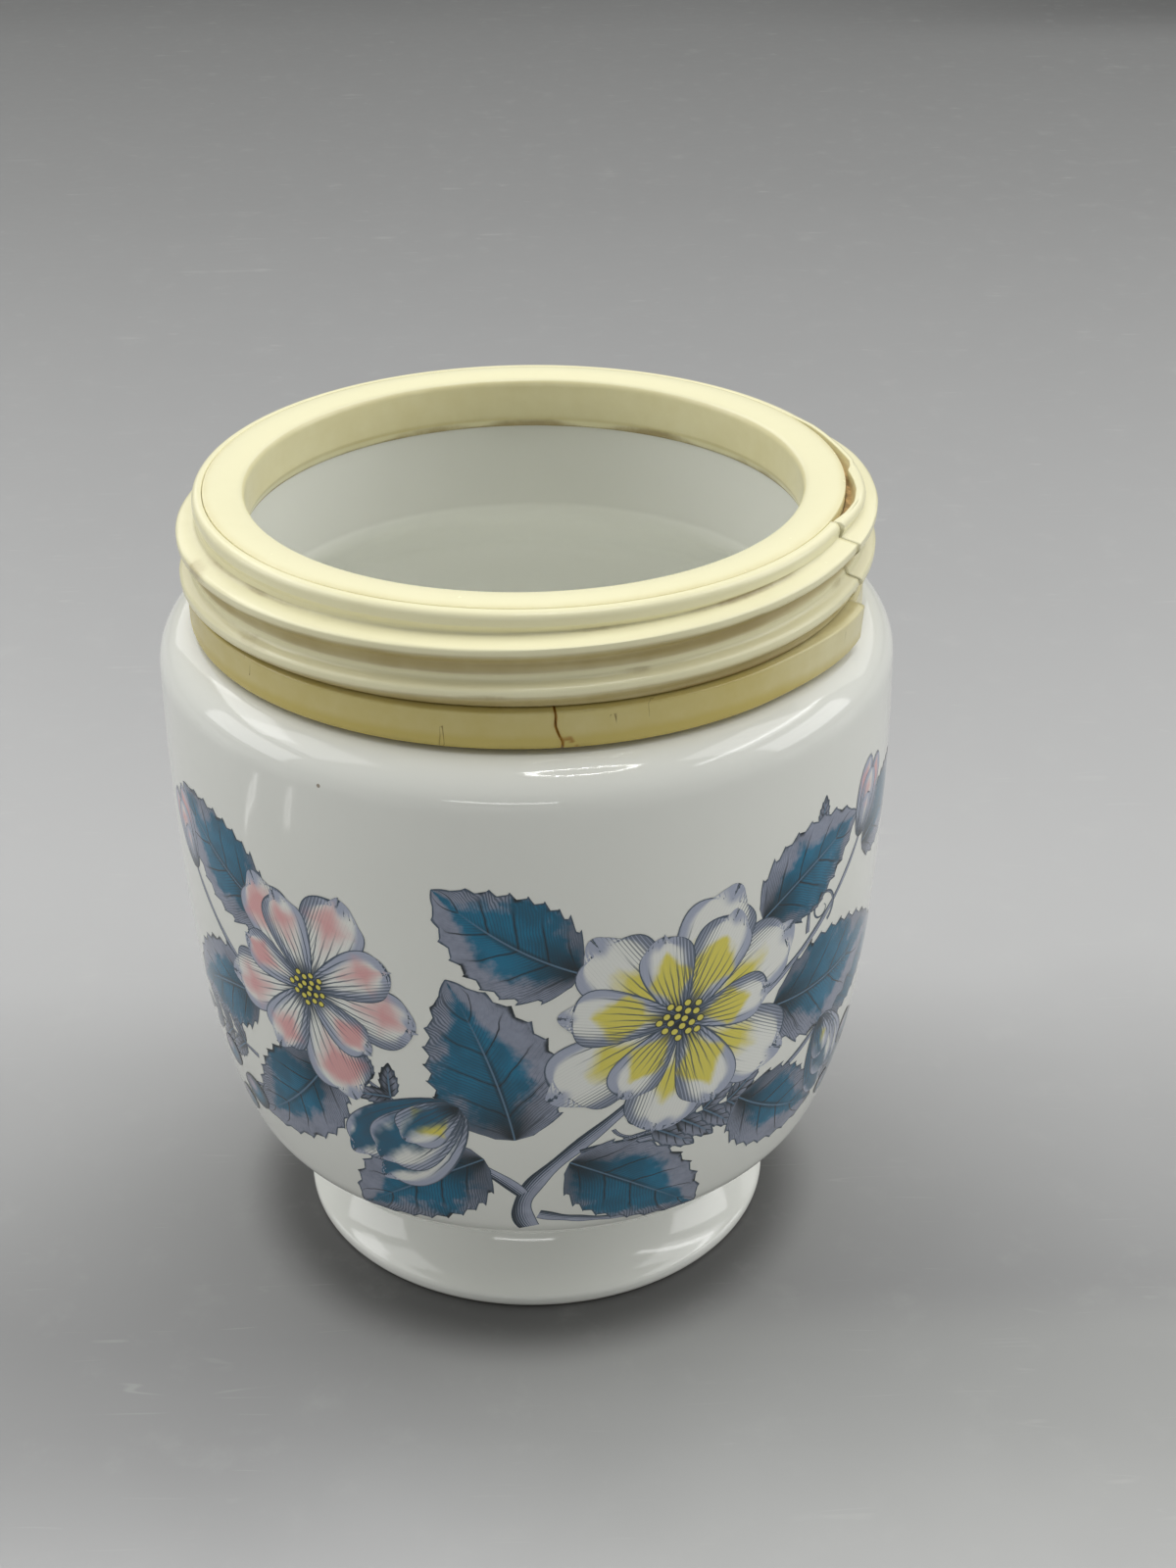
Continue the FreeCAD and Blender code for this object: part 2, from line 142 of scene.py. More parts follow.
class CollarSettings(bpy.types.PropertyGroup):
    """Sizes and colours of the plastic collar and its cement."""
    glue_gap: length("Glue gap", "Gap between skirt and neck", 0.05)
    skirt_wall: length("Skirt wall", "Thickness of the skirt that lines the mouth", 0.55)
    skirt_length: length("Skirt length", "How far the skirt reaches below the neck's edge", 3.0)
    skirt_edge: length("Skirt edge", "Width of the skirt's lower edge", 0.1)
    bevel_rise: length("Bevel rise", "Height of the bevel above that edge", 1.1)
    flange: length("Flange", "Thickness of the flange at the parting line", 2.0)
    dome_fall: length("Dome fall", "How much lower the flange is at the mouth", 0.2)
    dome_curve: length("Dome curve", "Radius of the flange's crown", 6.5)
    mouth_round: length("Mouth rounding", "Rounding of the flange into the mouth", 0.8)
    fine_round: length("Fine rounding", "Softening of fine edges", 0.12)
    parting_gap: length("Parting gap", "Gap between cap and shell", 0.04)
    cement_width: length("Cement width", "Width of the space between neck and shell", 0.8)
    lip_wall: length("Lip wall", "Thickness of the shell at its lip", 0.9)
    lip_depth: length("Lip depth", "Height of the lip's upright side", 1.2)
    lip_round: length("Lip rounding", "Rounding of the lip's outer edge", 0.65)
    groove_wall: length("Groove wall", "Thickness of the shell in the groove under the lip", 0.65)
    groove_drop: length("Groove drop", "How far that groove lies below the lip's top", 2.0)
    groove_width: length("Groove width", "Width of the groove's flat", 0.6)
    root_wall: length("Root wall", "Thickness of the shell between the ridges", 1.5)
    root_rise: length("Root rise", "Height over which the wall runs out to that thickness", 2.0)
    band_gap: length("Band gap", "Gap under the plain band", 0.15)
    band_height: length("Band height", "Height of the plain band", 3.7)
    band_wall: length("Band wall", "Thickness of the plain band", 1.95)
    band_step: length("Band step", "Height of the step at the band's upper edge", 0.35)
    band_round: length("Band rounding", "Rounding of the band's lower edge", 0.35)
    ridge_height: length("Ridge height", "How far the thread stands out of the wall", 1.0)
    crest_width: length("Crest width", "Width of the ridge at its crest", 0.55)
    upper_flank: length("Upper flank", "Height of the ridge's upper flank", 0.6)
    lower_flank: length("Lower flank", "Height of the ridge's lower flank", 1.2)
    thread_pitch: length("Thread pitch", "Rise of the ridge in one turn", 3.6)
    thread_rise: length("Thread rise", "How far above the band the ridge starts", 0.75)
    thread_drop: length("Thread drop", "How far below the lip's top the ridge ends", 1.7)
    thread_start: angle_of("Thread start", "Where the ridge starts, from the front", -80)
    runout: angle_of("Run-out", "Angle over which each end sinks into the wall", 36)
    band_spring: length("Band spring", "How far the broken band's end has sprung out at its top", 1.0)
    segments: IntProperty(name="Segments", description="Steps round the collar", default=480, min=48)
    plastic: colour("Plastic", "Colour of the aged cream plastic", 242, 237, 199)
    yellowed: colour("Yellowed", "Colour of its deeply yellowed parts", 200, 182, 100)
    # The stain colour is also what the dirt and painted shade in the hollows darken towards.
    stain: colour("Stain", "Colour of the stains in its grooves", 138, 110, 42)
    rust: colour("Rust", "Colour of the band's front crack", 160, 116, 34)
    cement: colour("Cement", "Colour of the cement and dried glue", 150, 92, 38)
    # Painted light: a lighter copy of the cement for the bead that shows in the shell's tear.
    paste: colour("Squeezed cement", "Colour of the cement that shows in the shell's tear", 226, 190, 136)


class PrintSettings(bpy.types.PropertyGroup):
    """Inks of the flower print."""
    leaf: colour("Leaf", "Grey lilac of the leaves", 150, 157, 176)
    teal: colour("Teal", "Colour of the leaves' hearts", 0, 114, 150)
    slate: colour("Slate", "Slate of the outlines and engraver's lines", 58, 76, 92)
    dark: colour("Dark", "Blue-black of the deepest shade", 12, 30, 38)
    petal: colour("Petal", "White of the petals", 236, 237, 231)
    lilac: colour("Lilac", "Pale lilac of the petals' rims", 170, 177, 196)
    yellow: colour("Yellow", "Yellow of the petals' hearts", 228, 216, 96)
    pink: colour("Pink", "Pink of the blush", 224, 160, 160)


class StageSettings(bpy.types.PropertyGroup):
    """The table, the camera and the lights."""
    camera_place: FloatVectorProperty(name="Camera", description="Where the camera stands", unit="LENGTH",
                                      subtype="TRANSLATION", size=3, default=(0.0, -0.193641, 0.153308))
    camera_fall: angle_of("Fall", "How far the camera's arm looks down", 32.2268)
    camera_yaw: angle_of("Yaw", "Turn of the camera to the side", 1.4182)
    camera_pitch: angle_of("Pitch", "Nod of the camera off its arm", -2.8797)
    camera_roll: angle_of("Roll", "Tilt of the camera's frame", 1.1587)
    lens: number("Lens", "Focal length in millimetres", 53.465)
    # The table colour is also what the table is lightened towards in front on the right, as painted light.
    table: colour("Table", "Colour of the dust on the plain table", 196, 197, 193)
    table_level: number("Table level", "How pale the table is", 0.95)
    room: colour("Room", "Colour of the room round the table", 230, 232, 228)
    room_level: number("Room level", "How brightly the room shines", 0.27)


# ---------------------------------------------------------------- shader building


class Signal:
    """A node's output that takes part in Python arithmetic."""

    def __init__(self, finish, node, socket):
        self.finish = finish
        self.node = node
        self.socket = socket

    def output(self, name):
        """Another output of the same node."""
        return Signal(self.finish, self.node, self.node.outputs[name])

    def _maths(self, operation, *values):
        return self.finish.node("ShaderNodeMath", dict(enumerate(values)), operation=operation)

    def __add__(self, other):
        return self._maths("ADD", self, other)

    def __radd__(self, other):
        return self._maths("ADD", other, self)

    def __sub__(self, other):
        return self._maths("SUBTRACT", self, other)

    def __rsub__(self, other):
        return self._maths("SUBTRACT", other, self)

    def __mul__(self, other):
        return self._maths("MULTIPLY", self, other)

    def __truediv__(self, other):
        return self._maths("DIVIDE", self, other)

    def __pow__(self, other):
        return self._maths("POWER", self, other)

    def __abs__(self):
        return self._maths("ABSOLUTE", self)

    def __mod__(self, other):
        return self._maths("FLOORED_MODULO", self, other)

    def least(self, other):
        """The smaller of two values."""
        return self._maths("MINIMUM", self, other)

    def most(self, other):
        """The larger of two values."""
        return self._maths("MAXIMUM", self, other)

    def rise(self, low, high):
        """A smooth step from 0 at low to 1 at high. With low above high it falls instead."""
        if low > high:
            return 1 - self.rise(high, low)
        ends = {0: self, 1: low, 2: high}
        return self.finish.node("ShaderNodeMapRange", ends, interpolation_type="SMOOTHSTEP")


class Finish:
    """A material under construction."""

    def __init__(self, name):
        self.material = bpy.data.materials.new(name)
        self.material.use_nodes = True
        self.tree = self.material.node_tree
        self.tree.nodes.clear()

    def node(self, kind, inputs=None, output=0, **settings):
        """Add a node: its settings are set first, then its sockets' values or links. Gives one output."""
        made = self.tree.nodes.new(kind)
        for name, value in settings.items():
            if name == "stops":
                self.set_stops(made.color_ramp, value)
            else:
                setattr(made, name, value)
        for name, value in (inputs or {}).items():
            if isinstance(value, Signal):
                self.tree.links.new(value.socket, made.inputs[name])
            else:
                made.inputs[name].default_value = value
        return Signal(self, made, made.outputs[output]) if made.outputs else None

    @staticmethod
    def set_stops(ramp, stops):
        """Give a colour ramp its stops: (position, colour) pairs."""
        while len(ramp.elements) < len(stops):
            ramp.elements.new(1.0)
        for element, (position, value) in zip(ramp.elements, stops):
            element.position = position
            element.color = (*value, 1.0)

    def place(self):
        """Where a point lies on the object, in metres."""
        return self.node("ShaderNodeTexCoord", output="Object")

    def spot(self, name):
        """The numbers that a piece's own attribute holds: x, y, z and a fourth one."""
        colours = self.node("ShaderNodeAttribute", output="Color", attribute_name=name)
        parts = self.node("ShaderNodeSeparateColor", {0: colours}, "Red")
        return parts, parts.output("Green"), parts.output("Blue"), colours.output("Alpha")

    def noise(self, vector, scale, detail, roughness=0.5):
        """Smooth noise from 0 to 1. The scale is in features per metre."""
        inputs = {"Vector": vector, "Scale": scale, "Detail": detail, "Roughness": roughness}
        return self.node("ShaderNodeTexNoise", inputs, "Fac")

    def stretched(self, vector, scale):
        """Coordinates stretched by a factor along each axis."""
        return self.node("ShaderNodeMapping", {"Vector": vector, "Scale": scale})

    def joined(self, x_value, y_value):
        """A flat vector made of two values."""
        return self.node("ShaderNodeCombineXYZ", {0: x_value, 1: y_value})

    def mix(self, factor, low, high):
        """Blend two colours: low at factor 0 and high at factor 1."""
        ends = [end if isinstance(end, Signal) else (*end, 1.0) for end in (low, high)]
        inputs = {0: factor, 6: ends[0], 7: ends[1]}
        return self.node("ShaderNodeMix", inputs, 2, data_type="RGBA", clamp_factor=True)

    def bump(self, height, distance, strength, normal=None):
        """A normal that follows a height between 0 and 1, as deep as the distance in metres."""
        inputs = {"Height": height, "Distance": distance, "Strength": strength}
        if normal:
            inputs["Normal"] = normal
        return self.node("ShaderNodeBump", inputs)

    def finished(self, inputs):
        """Close the material with one Principled shader and give it back."""
        surface = self.node("ShaderNodeBsdfPrincipled", inputs)
        self.node("ShaderNodeOutputMaterial", {"Surface": surface})
        return self.material


# ---------------------------------------------------------------- modelling helpers


def line(start, end, step):
    """Points of a straight run, evenly spaced at about the step."""
    count = max(1, math.ceil((end - start).length / step))
    return [start.lerp(end, index / count) for index in range(count + 1)]


def arc(start, end, radius, bulge, step):
    """Points of an arc. Bulge +1 swells it to the right of the way from start to end, -1 to the left."""
    chord = end - start
    to_right = Vector((chord.y, -chord.x)).normalized()
    depth = math.sqrt(radius ** 2 - (chord.length / 2) ** 2)
    centre = (start + end) / 2 - to_right * (bulge * depth)
    first = start - centre
    sweep = first.angle_signed(end - centre)
    count = max(2, math.ceil(abs(sweep) * radius / step))
    turns = [Matrix.Rotation(-sweep * index / count, 2) for index in range(count + 1)]
    return [centre + turn @ first for turn in turns]


def cut_back(points, distance):
    """A run without its first stretch of the given length."""
    kept, left = list(points), distance
    while len(kept) > 2 and (kept[1] - kept[0]).length <= left:
        left -= (kept[1] - kept[0]).length
        kept.pop(0)
    edge = kept[1] - kept[0]
    kept[0] = kept[0] + edge * min(0.95, left / edge.length)
    return kept


def weighted(points, weights):
    """The sum of plane points, each times its weight."""
    return sum((point * weight for point, weight in zip(points, weights)), Vector((0, 0)))


def cubic(pulls, share):
    """The point at a share of the way along a curve through four control points."""
    rest = 1 - share
    return weighted(pulls, (rest ** 3, 3 * rest ** 2 * share, 3 * rest * share ** 2, share ** 3))


def soft_corner(before, after, steps):
    """Points of a smooth bend from the end of one run to the start of the next."""
    start, end = before[-1], after[0]
    way_in = (before[-1] - before[-2]).normalized()
    way_out = (after[1] - after[0]).normalized()
    turn = abs(way_in.angle_signed(way_out))
    reach = (end - start).length / (2 * math.sin(turn / 2)) * 4 / 3 * math.tan(turn / 4)
    pulls = [start, start + way_in * reach, end - way_out * reach, end]
    return [cubic(pulls, index / steps) for index in range(1, steps)]


def outline(corners, step, closed=False):
    """A smooth path through corners: radius, height and, where wanted, rounding, curve and bulge.

    The curve and bulge describe the arc from that corner to the next one.
    """
    count = len(corners)
    runs = []
    for index in range(count if closed else count - 1):
        start = Vector(corners[index][:2])
        end = Vector(corners[(index + 1) % count][:2])
        if len(corners[index]) > 3:
            runs.append(arc(start, end, corners[index][3], corners[index][4], step))
        else:
            runs.append(line(start, end, step))
    bends = {}
    for index in range(0 if closed else 1, len(runs)):
        rounding = corners[index][2] if len(corners[index]) > 2 else 0
        if rounding:
            before, after = runs[index - 1], runs[index]
            turn = (before[-1] - before[-2]).angle(after[1] - after[0])
            reach = rounding * math.tan(turn / 2)
            runs[index - 1] = cut_back(before[::-1], reach)[::-1]
            runs[index] = cut_back(after, reach)
            bends[index] = min(max(3, math.ceil(rounding * turn / (0.6 * step))), 12)
    path = []
    for index, run in enumerate(runs):
        if index in bends:
            path += soft_corner(runs[index - 1], run, bends[index]) + run
        else:
            path += run[1:] if path else run
    return path[:-1] if closed and 0 not in bends else path


def spun(points, segments, sweep=math.tau, closed=False, start=0.0):
    """A bmesh made by turning an outline about the pot's axis, from an angle measured from the front."""
    made = bmesh.new()
    verts = [made.verts.new((point.x, 0.0, point.y)) for point in points]
    edges = [made.edges.new(pair) for pair in zip(verts, verts[1:])]
    if closed:
        edges.append(made.edges.new((verts[-1], verts[0])))
    bmesh.ops.rotate(made, verts=verts, cent=(0, 0, 0), matrix=Matrix.Rotation(start - math.pi / 2, 3, "Z"))
    full = abs(sweep - math.tau) < 1e-6
    bmesh.ops.spin(made, geom=verts + edges, cent=(0, 0, 0), axis=(0, 0, 1), dvec=(0, 0, 0), angle=sweep,
                   steps=segments, use_merge=full, use_normal_flip=False, use_duplicate=False)
    bmesh.ops.remove_doubles(made, verts=made.verts, dist=WELD)
    return made


def azimuth(point):
    """Angle of a point about the axis, measured from the front towards the right."""
    return math.atan2(point.x, -point.y)


def off_axis(point):
    """Distance of a point from the axis."""
    return math.hypot(point.x, point.y)


def polar(radius, angle, height):
    """A point at a radius, an angle measured from the front and a height."""
    return Vector((radius * math.sin(angle), -radius * math.cos(angle), height))


def smooth_step(value, low, high):
    """0 at low, 1 at high and a smooth rise between them."""
    share = min(1.0, max(0.0, (value - low) / (high - low)))
    return share * share * (3 - 2 * share)


def follow(value, stops):
    """Read a value off straight runs between (position, value) stops."""
    if value <= stops[0][0]:
        return stops[0][1]
    for (low, first), (high, second) in zip(stops, stops[1:]):
        if value <= high:
            return first + (second - first) * (value - low) / (high - low)
    return stops[-1][1]


def hung(name, data):
    """A new object of the scene that shows some data."""
    made = bpy.data.objects.new(name, data)
    bpy.context.scene.collection.objects.link(made)
    return made


def meshed(name, made, *materials):
    """Turn a bmesh into an object of the scene."""
    mesh = bpy.data.meshes.new(name)
    made.to_mesh(mesh)
    made.free()
    for material in materials:
        mesh.materials.append(material)
    return hung(name, mesh)


def finished_piece(made, name, material, slot, *nodes, outward=False):
    """Turn a bmesh into a named piece that rides on the pot and stands for CAD nodes.

    Open sheets are turned away from the pot's axis instead of having their normals recalculated.
    """
    if outward:
        made.normal_update()
        level = Vector((1, 1, 0))
        turned = [face for face in made.faces if face.normal.dot(face.calc_center_median() * level) < 0]
        bmesh.ops.reverse_faces(made, faces=turned)
    else:
        bmesh.ops.recalc_face_normals(made, faces=made.faces)
    for face in made.faces:
        face.smooth = True
    piece = meshed(name, made, material)
    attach(piece, BODY)
    if nodes:
        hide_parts(*nodes)


# ---------------------------------------------------------------- the pot


def pot_heights(pot):
    """The pot's worked-out places: waist, heel, floor and neck."""
    at = SimpleNamespace()
    at.waist_radius = pot.foot_radius - pot.flare_width
    at.flare_top = pot.foot_rim + math.sqrt(pot.flare_curve ** 2 - (pot.flare_curve - pot.flare_width) ** 2)
    at.waist_height = at.flare_top + pot.waist_rise
    at.heel_height = at.waist_height + pot.heel_rise
    at.floor_height = pot.recess_height + pot.floor_thickness
    at.neck_radius = pot.body_radius - pot.shoulder_width
    at.neck_foot = pot.shoulder_height + pot.shoulder_rise
    at.neck_top = at.neck_foot + pot.neck_height
    at.throat_radius = at.neck_radius - pot.neck_wall
    return at


class PotSide:
    """The two arcs of the pot's side, as in the CAD model."""

    def __init__(self, pot):
        self.pot = pot
        self.upper_centre = pot.body_radius - pot.side_curve
        self.drop = pot.widest_height - pot.belly_height
        self.span = math.sqrt(pot.side_curve ** 2 - self.drop ** 2)
        share = (pot.side_curve - pot.belly_curve) / pot.side_curve
        self.lower_centre = self.upper_centre + share * self.span
        self.lower_level = pot.widest_height - share * self.drop

    def upper(self, height, inset=0.0):
        """Radius of the upper side at a height."""
        reach = (self.pot.side_curve - inset) ** 2 - (height - self.pot.widest_height) ** 2
        return self.upper_centre + math.sqrt(reach)

    def lower(self, height, inset=0.0):
        """Radius of the lower side at a height."""
        reach = (self.pot.belly_curve - inset) ** 2 - (height - self.lower_level) ** 2
        return self.lower_centre + math.sqrt(reach)

    def meeting(self, inset=0.0):
        """Where the two arcs meet."""
        reach = (self.pot.belly_curve - inset) / self.pot.side_curve
        return self.lower_centre + reach * self.span, self.lower_level - reach * self.drop


def outside_corners(pot):
    """Corners of the pot's outside, from the foot ring to the neck's edge."""
    at = pot_heights(pot)
    side = PotSide(pot)
    return [
        (pot.foot_radius - pot.ring_width, 0.0, pot.edge_round),
        (pot.foot_radius, 0.0, pot.foot_round),
        (pot.foot_radius, pot.foot_rim, pot.foot_round, pot.flare_curve, -1),
        (at.waist_radius, at.flare_top),
        (at.waist_radius, at.waist_height, pot.waist_round),
        (side.lower(at.heel_height), at.heel_height, pot.heel_round, pot.belly_curve, 1),
        (*side.meeting(), 0, pot.side_curve, 1),
        (side.upper(pot.shoulder_height), pot.shoulder_height, pot.shoulder_round),
        (at.neck_radius, at.neck_foot, pot.edge_round),
        (at.neck_radius, at.neck_top, pot.edge_round),
    ]


def inside_corners(pot):
    """Corners of the pot's hollow, from the neck's edge down to the middle of the floor."""
    at = pot_heights(pot)
    side = PotSide(pot)
    ceiling = pot.shoulder_height - pot.wall - pot.ceiling_slope
    return [
        (at.throat_radius, at.neck_top, pot.edge_round),
        (at.throat_radius, at.neck_foot - pot.wall, pot.throat_round),
        (side.upper(ceiling, pot.wall), ceiling, pot.ceiling_round, pot.side_curve - pot.wall, -1),
        (*side.meeting(pot.wall), 0, pot.belly_curve - pot.wall, -1),
        (side.lower(at.floor_height, pot.wall), at.floor_height, pot.floor_round),
        (0.0, at.floor_height),
    ]


def glaze_relief(finish, place):
    """The faint waves of the glaze, which run on over the print."""
    waves = finish.noise(place, 95.0, 1.0)
    ripples = finish.noise(place, 900.0, 1.0)
    return finish.bump(ripples, 0.004 * MM, 0.35, finish.bump(waves, 0.05 * MM, 0.35))


SPECK = screen(120, 96, 66)


def porcelain_finish(pot):
    """Glazed porcelain with faint waves in the glaze, pin specks and a bare foot ring, and painted light: a
    lighter glaze inside the hollow and on the foot's flare.
    """
    finish = Finish("glazed_porcelain")
    place = finish.place()
    height = finish.node("ShaderNodeSeparateXYZ", {0: place}, "Z")
    cloud = finish.noise(place, 35.0, 3.0)
    glaze = finish.mix(cloud.rise(0.35, 0.7), pot.glaze, dimmed(pot.glaze, 0.975))
    specks = finish.node("ShaderNodeTexVoronoi", {"Vector": place, "Scale": 260.0}, "Distance", feature="F1")
    rare = finish.noise(place, 120.0, 0.0).rise(0.70, 0.74)
    speck = specks.rise(0.055, 0.035) * rare
    # Painted light: a lighter glaze inside the hollow and on the foot's flare.
    glaze = finish.mix(finish.spot("zone")[0], glaze, pot.painted_light_glaze)
    glaze = finish.mix(speck * 0.75, glaze, SPECK)
    bare = height.rise(0.30 * MM, 0.12 * MM)
    shade = finish.mix(bare, glaze, pot.bisque)
    return finish.finished({
        "Base Color": shade,
        "Roughness": GLAZE_ROUGHNESS + bare * 0.5,
        "IOR": GLAZE_INDEX,
        "Normal": glaze_relief(finish, place),
    })


class CODDLER_OT_pot(bpy.types.Operator):
    """Turn the porcelain pot"""
    bl_idname = "coddler.pot"
    bl_label = "Porcelain pot"

    def execute(self, context):
        pot = context.scene.coddler_pot
        recess_top = pot.foot_radius - pot.ring_width - pot.recess_taper
        corners = [(0.0, pot.recess_height), (recess_top, pot.recess_height, pot.recess_round)]
        corners += outside_corners(pot) + inside_corners(pot)
        made = spun(outline(corners, PATH_STEP), pot.segments)
        side, at = PotSide(pot), pot_heights(pot)
        # The zone marks the painted light: the inside of the hollow and the foot's flare.
        zone = made.verts.layers.float_color.new("zone")
        meeting = side.meeting()[1]
        for vert in made.verts:
            height = vert.co.z
            outer = side.upper(height) if height > meeting else side.lower(height)
            hollow = (at.floor_height - 0.1 * MM < height < at.neck_foot - pot.wall * 0.5
                      and off_axis(vert.co) < outer - pot.wall * 0.5)
            painted_light = hollow or height < at.flare_top + 0.5 * MM
            vert[zone] = (float(painted_light), 0.0, 0.0, 1.0)
        finished_piece(made, "glazed_pot", porcelain_finish(pot), "porcelain", "cup")
        return {"FINISHED"}


# ---------------------------------------------------------------- the collar


def collar_places(pot, collar):
    """The collar's worked-out radii and heights."""
    at = pot_heights(pot)
    at.bore = at.neck_radius + collar.cement_width
    at.lip = at.neck_top + collar.flange
    at.skirt = at.throat_radius - collar.glue_gap
    at.mouth = at.skirt - collar.skirt_wall
    at.skirt_foot = at.neck_top - collar.skirt_length
    at.groove_foot = at.lip - collar.groove_drop - collar.groove_width / 2
    at.root = at.bore + collar.root_wall
    at.crest = at.root + collar.ridge_height
    at.band_foot = at.neck_foot + collar.band_gap
    at.band_top = at.band_foot + collar.band_height
    return at


def aged_plastic(name, collar, yellow_low, yellow_high):
    """Cream plastic that has yellowed: clouds, stains, dirt and painted shade in the hollows, hairline cracks
    and fine scuffs.
    """
    finish = Finish(name)
    place = finish.place()
    hollow, yellow, hairline, stain = finish.spot("wear")
    wander = finish.noise(finish.stretched(place, (1.0, 1.0, 0.16)), 1100.0, 2.0, 0.5)
    cloud = finish.noise(place, 70.0, 4.0, 0.6)
    mottle = finish.noise(place, 420.0, 3.0, 0.6)
    ageing = (yellow + (cloud - 0.5) * 0.35 + (mottle - 0.5) * 0.2).rise(yellow_low, yellow_high)
    shade = finish.mix(ageing, collar.plastic, collar.yellowed)
    # Dirt and painted shade: darker towards the stain colour where the hollow value is high.
    grime_and_shade = (hollow * (0.35 + cloud)).rise(0.25, 1.1)
    shade = finish.mix(grime_and_shade * 0.6, shade, collar.stain)
    blotch = (stain * (0.4 + finish.noise(place, 260.0, 4.0, 0.65) * 1.2)).rise(0.35, 0.95)
    shade = finish.mix(blotch * 0.7, shade, collar.stain)
    thread = abs(wander - 0.5).rise(0.022, 0.006) * hairline.rise(0.25, 0.6)
    shade = finish.mix(thread * 0.75, shade, dimmed(collar.stain, 0.6))
    shade = finish.mix((hairline * -1).rise(0.1, 0.8), shade, collar.rust)
    scuffs = finish.noise(finish.stretched(place, (1.0, 1.0, 5.0)), 700.0, 3.0, 0.7)
    grain = finish.noise(place, 2600.0, 2.0, 0.6)
    normal = finish.bump(scuffs, 0.02 * MM, 0.3)
    normal = finish.bump(grain, 0.006 * MM, 0.15, normal)
    return finish.finished({
        "Base Color": shade,
        "Roughness": 0.20 + scuffs * 0.10 + grime_and_shade * 0.25,
        "IOR": 1.5,
        "Normal": normal,
    })


def mark_wear(made, rule):
    """Store four values for each vertex: hollow (dirt and painted shade), yellow, hairline and stain."""
    layer = made.verts.layers.float_color.new("wear")
    for vert in made.verts:
        vert[layer] = rule(vert.co)


def near_line(point, lines, width):
    """1 on the nearest of some upright hairlines (angle, low, high, lean), 0 a width away."""
    best = 0.0
    radius = off_axis(point)
    for angle, low, high, lean in lines:
        if low <= point.z <= high:
            share = (point.z - low) / (high - low)
            offset = (azimuth(point) - angle - lean * share) * radius
            best = max(best, 1 - abs(offset) / width)
    return best


# Stains on the cap's joint: angle from the front in degrees, and strength.
CAP_STAINS = [(-7, 0.9), (22, 0.35), (-62, 0.5), (150, 1.0), (178, 0.9), (-158, 0.8), (118, 0.7)]


def cap_wear(at):
    """Wear of the cap: brown joint under the skirt and a few stains."""
    def rule(point):
        radius = off_axis(point)
        angle = azimuth(point)
        seam = 1 - smooth_step(point.z, at.skirt_foot + 0.2 * MM, at.skirt_foot + 1.5 * MM)
        joint = 1 - smooth_step(point.z, at.skirt_foot + 0.05 * MM, at.skirt_foot + 0.4 * MM)
        edge = smooth_step(radius, at.bore - 0.9 * MM, at.bore - 0.12 * MM)
        stain = 0.0
        for middle, weight in CAP_STAINS:
            gap = abs((angle - math.radians(middle) + math.pi) % math.tau - math.pi)
            stain = max(stain, weight * (1 - smooth_step(gap, 0.05, 0.32)))
        yellow = 0.2 + 0.3 * max(seam, edge) + 0.35 * (radius < at.mouth + 0.2 * MM)
        return max(seam * 0.35, edge * 0.4), yellow, 0.0, max(seam * stain, 0.85 * joint)
    return rule


class CODDLER_OT_cap(bpy.types.Operator):
    """Turn the collar's cap, which lines the mouth and covers the neck's edge"""
    bl_idname = "coddler.cap"
    bl_label = "Collar cap"

    def execute(self, context):
        pot, collar = context.scene.coddler_pot, context.scene.coddler_collar
        at = collar_places(pot, collar)
        edge = at.bore - collar.parting_gap
        corners = [
            (at.skirt - collar.skirt_edge, at.skirt_foot),
            (at.skirt, at.skirt_foot),
            (at.skirt, at.neck_top),
            (edge, at.neck_top),
            (edge, at.lip, collar.fine_round, collar.dome_curve, 1),
            (at.mouth, at.lip - collar.dome_fall, collar.mouth_round),
            (at.mouth, at.skirt_foot + collar.bevel_rise, collar.fine_round),
        ]
        made = spun(outline(corners, 0.3 * MM, closed=True), collar.segments, closed=True)
        mark_wear(made, cap_wear(at))
        finish = aged_plastic("cream_cap_plastic", collar, 0.15, 1.3)
        finished_piece(made, "collar_cap", finish, "collar_top", "rim_cap")
        return {"FINISHED"}


def ridge_level(at, collar, angle, turn):
    """Height of the thread's middle at an angle from the front, on one of its turns."""
    start = at.band_top + collar.thread_rise
    return start + collar.thread_pitch * (angle - collar.thread_start + math.tau * turn) / math.tau


def ridge_share(offset, collar):
    """How much of its height the ridge has at an offset above its middle."""
    above = offset - collar.crest_width / 2
    below = -offset - collar.crest_width / 2
    if above > 0:
        return 1 - smooth_step(above, 0.0, collar.upper_flank)
    if below > 0:
        return 1 - smooth_step(below, 0.0, collar.lower_flank)
    return 1.0


def near_ridges(at, collar, point):
    """The ridges near a point of the shell: how full each one is there, and how far the point is above it."""
    angle = azimuth(point)
    first = at.band_top + collar.thread_rise
    last = at.lip - collar.thread_drop
    sweep = (last - first) / collar.thread_pitch * math.tau
    for turn in range(-1, 3):
        travelled = angle - collar.thread_start + math.tau * turn
        faded = smooth_step(travelled, -collar.runout, 0.0)
        faded *= 1 - smooth_step(travelled, sweep, sweep + collar.runout)
        if faded > 0:
            yield faded, point.z - ridge_level(at, collar, angle, turn)


def thread_height(at, collar, point):
    """How far the thread stands out at a point of the shell."""
    heights = [faded * ridge_share(offset, collar) for faded, offset in near_ridges(at, collar, point)]
    return max(heights, default=0.0)


# The shell's split: height in millimetres and angle in degrees at each bend.
SHELL_SPLIT = [(68.3, 71.0), (69.5, 69.6), (71.0, 66.6), (73.0, 64.0), (74.1, 65.4), (75.0, 64.6),
               (75.7, 65.4), (76.4, 64.8)]
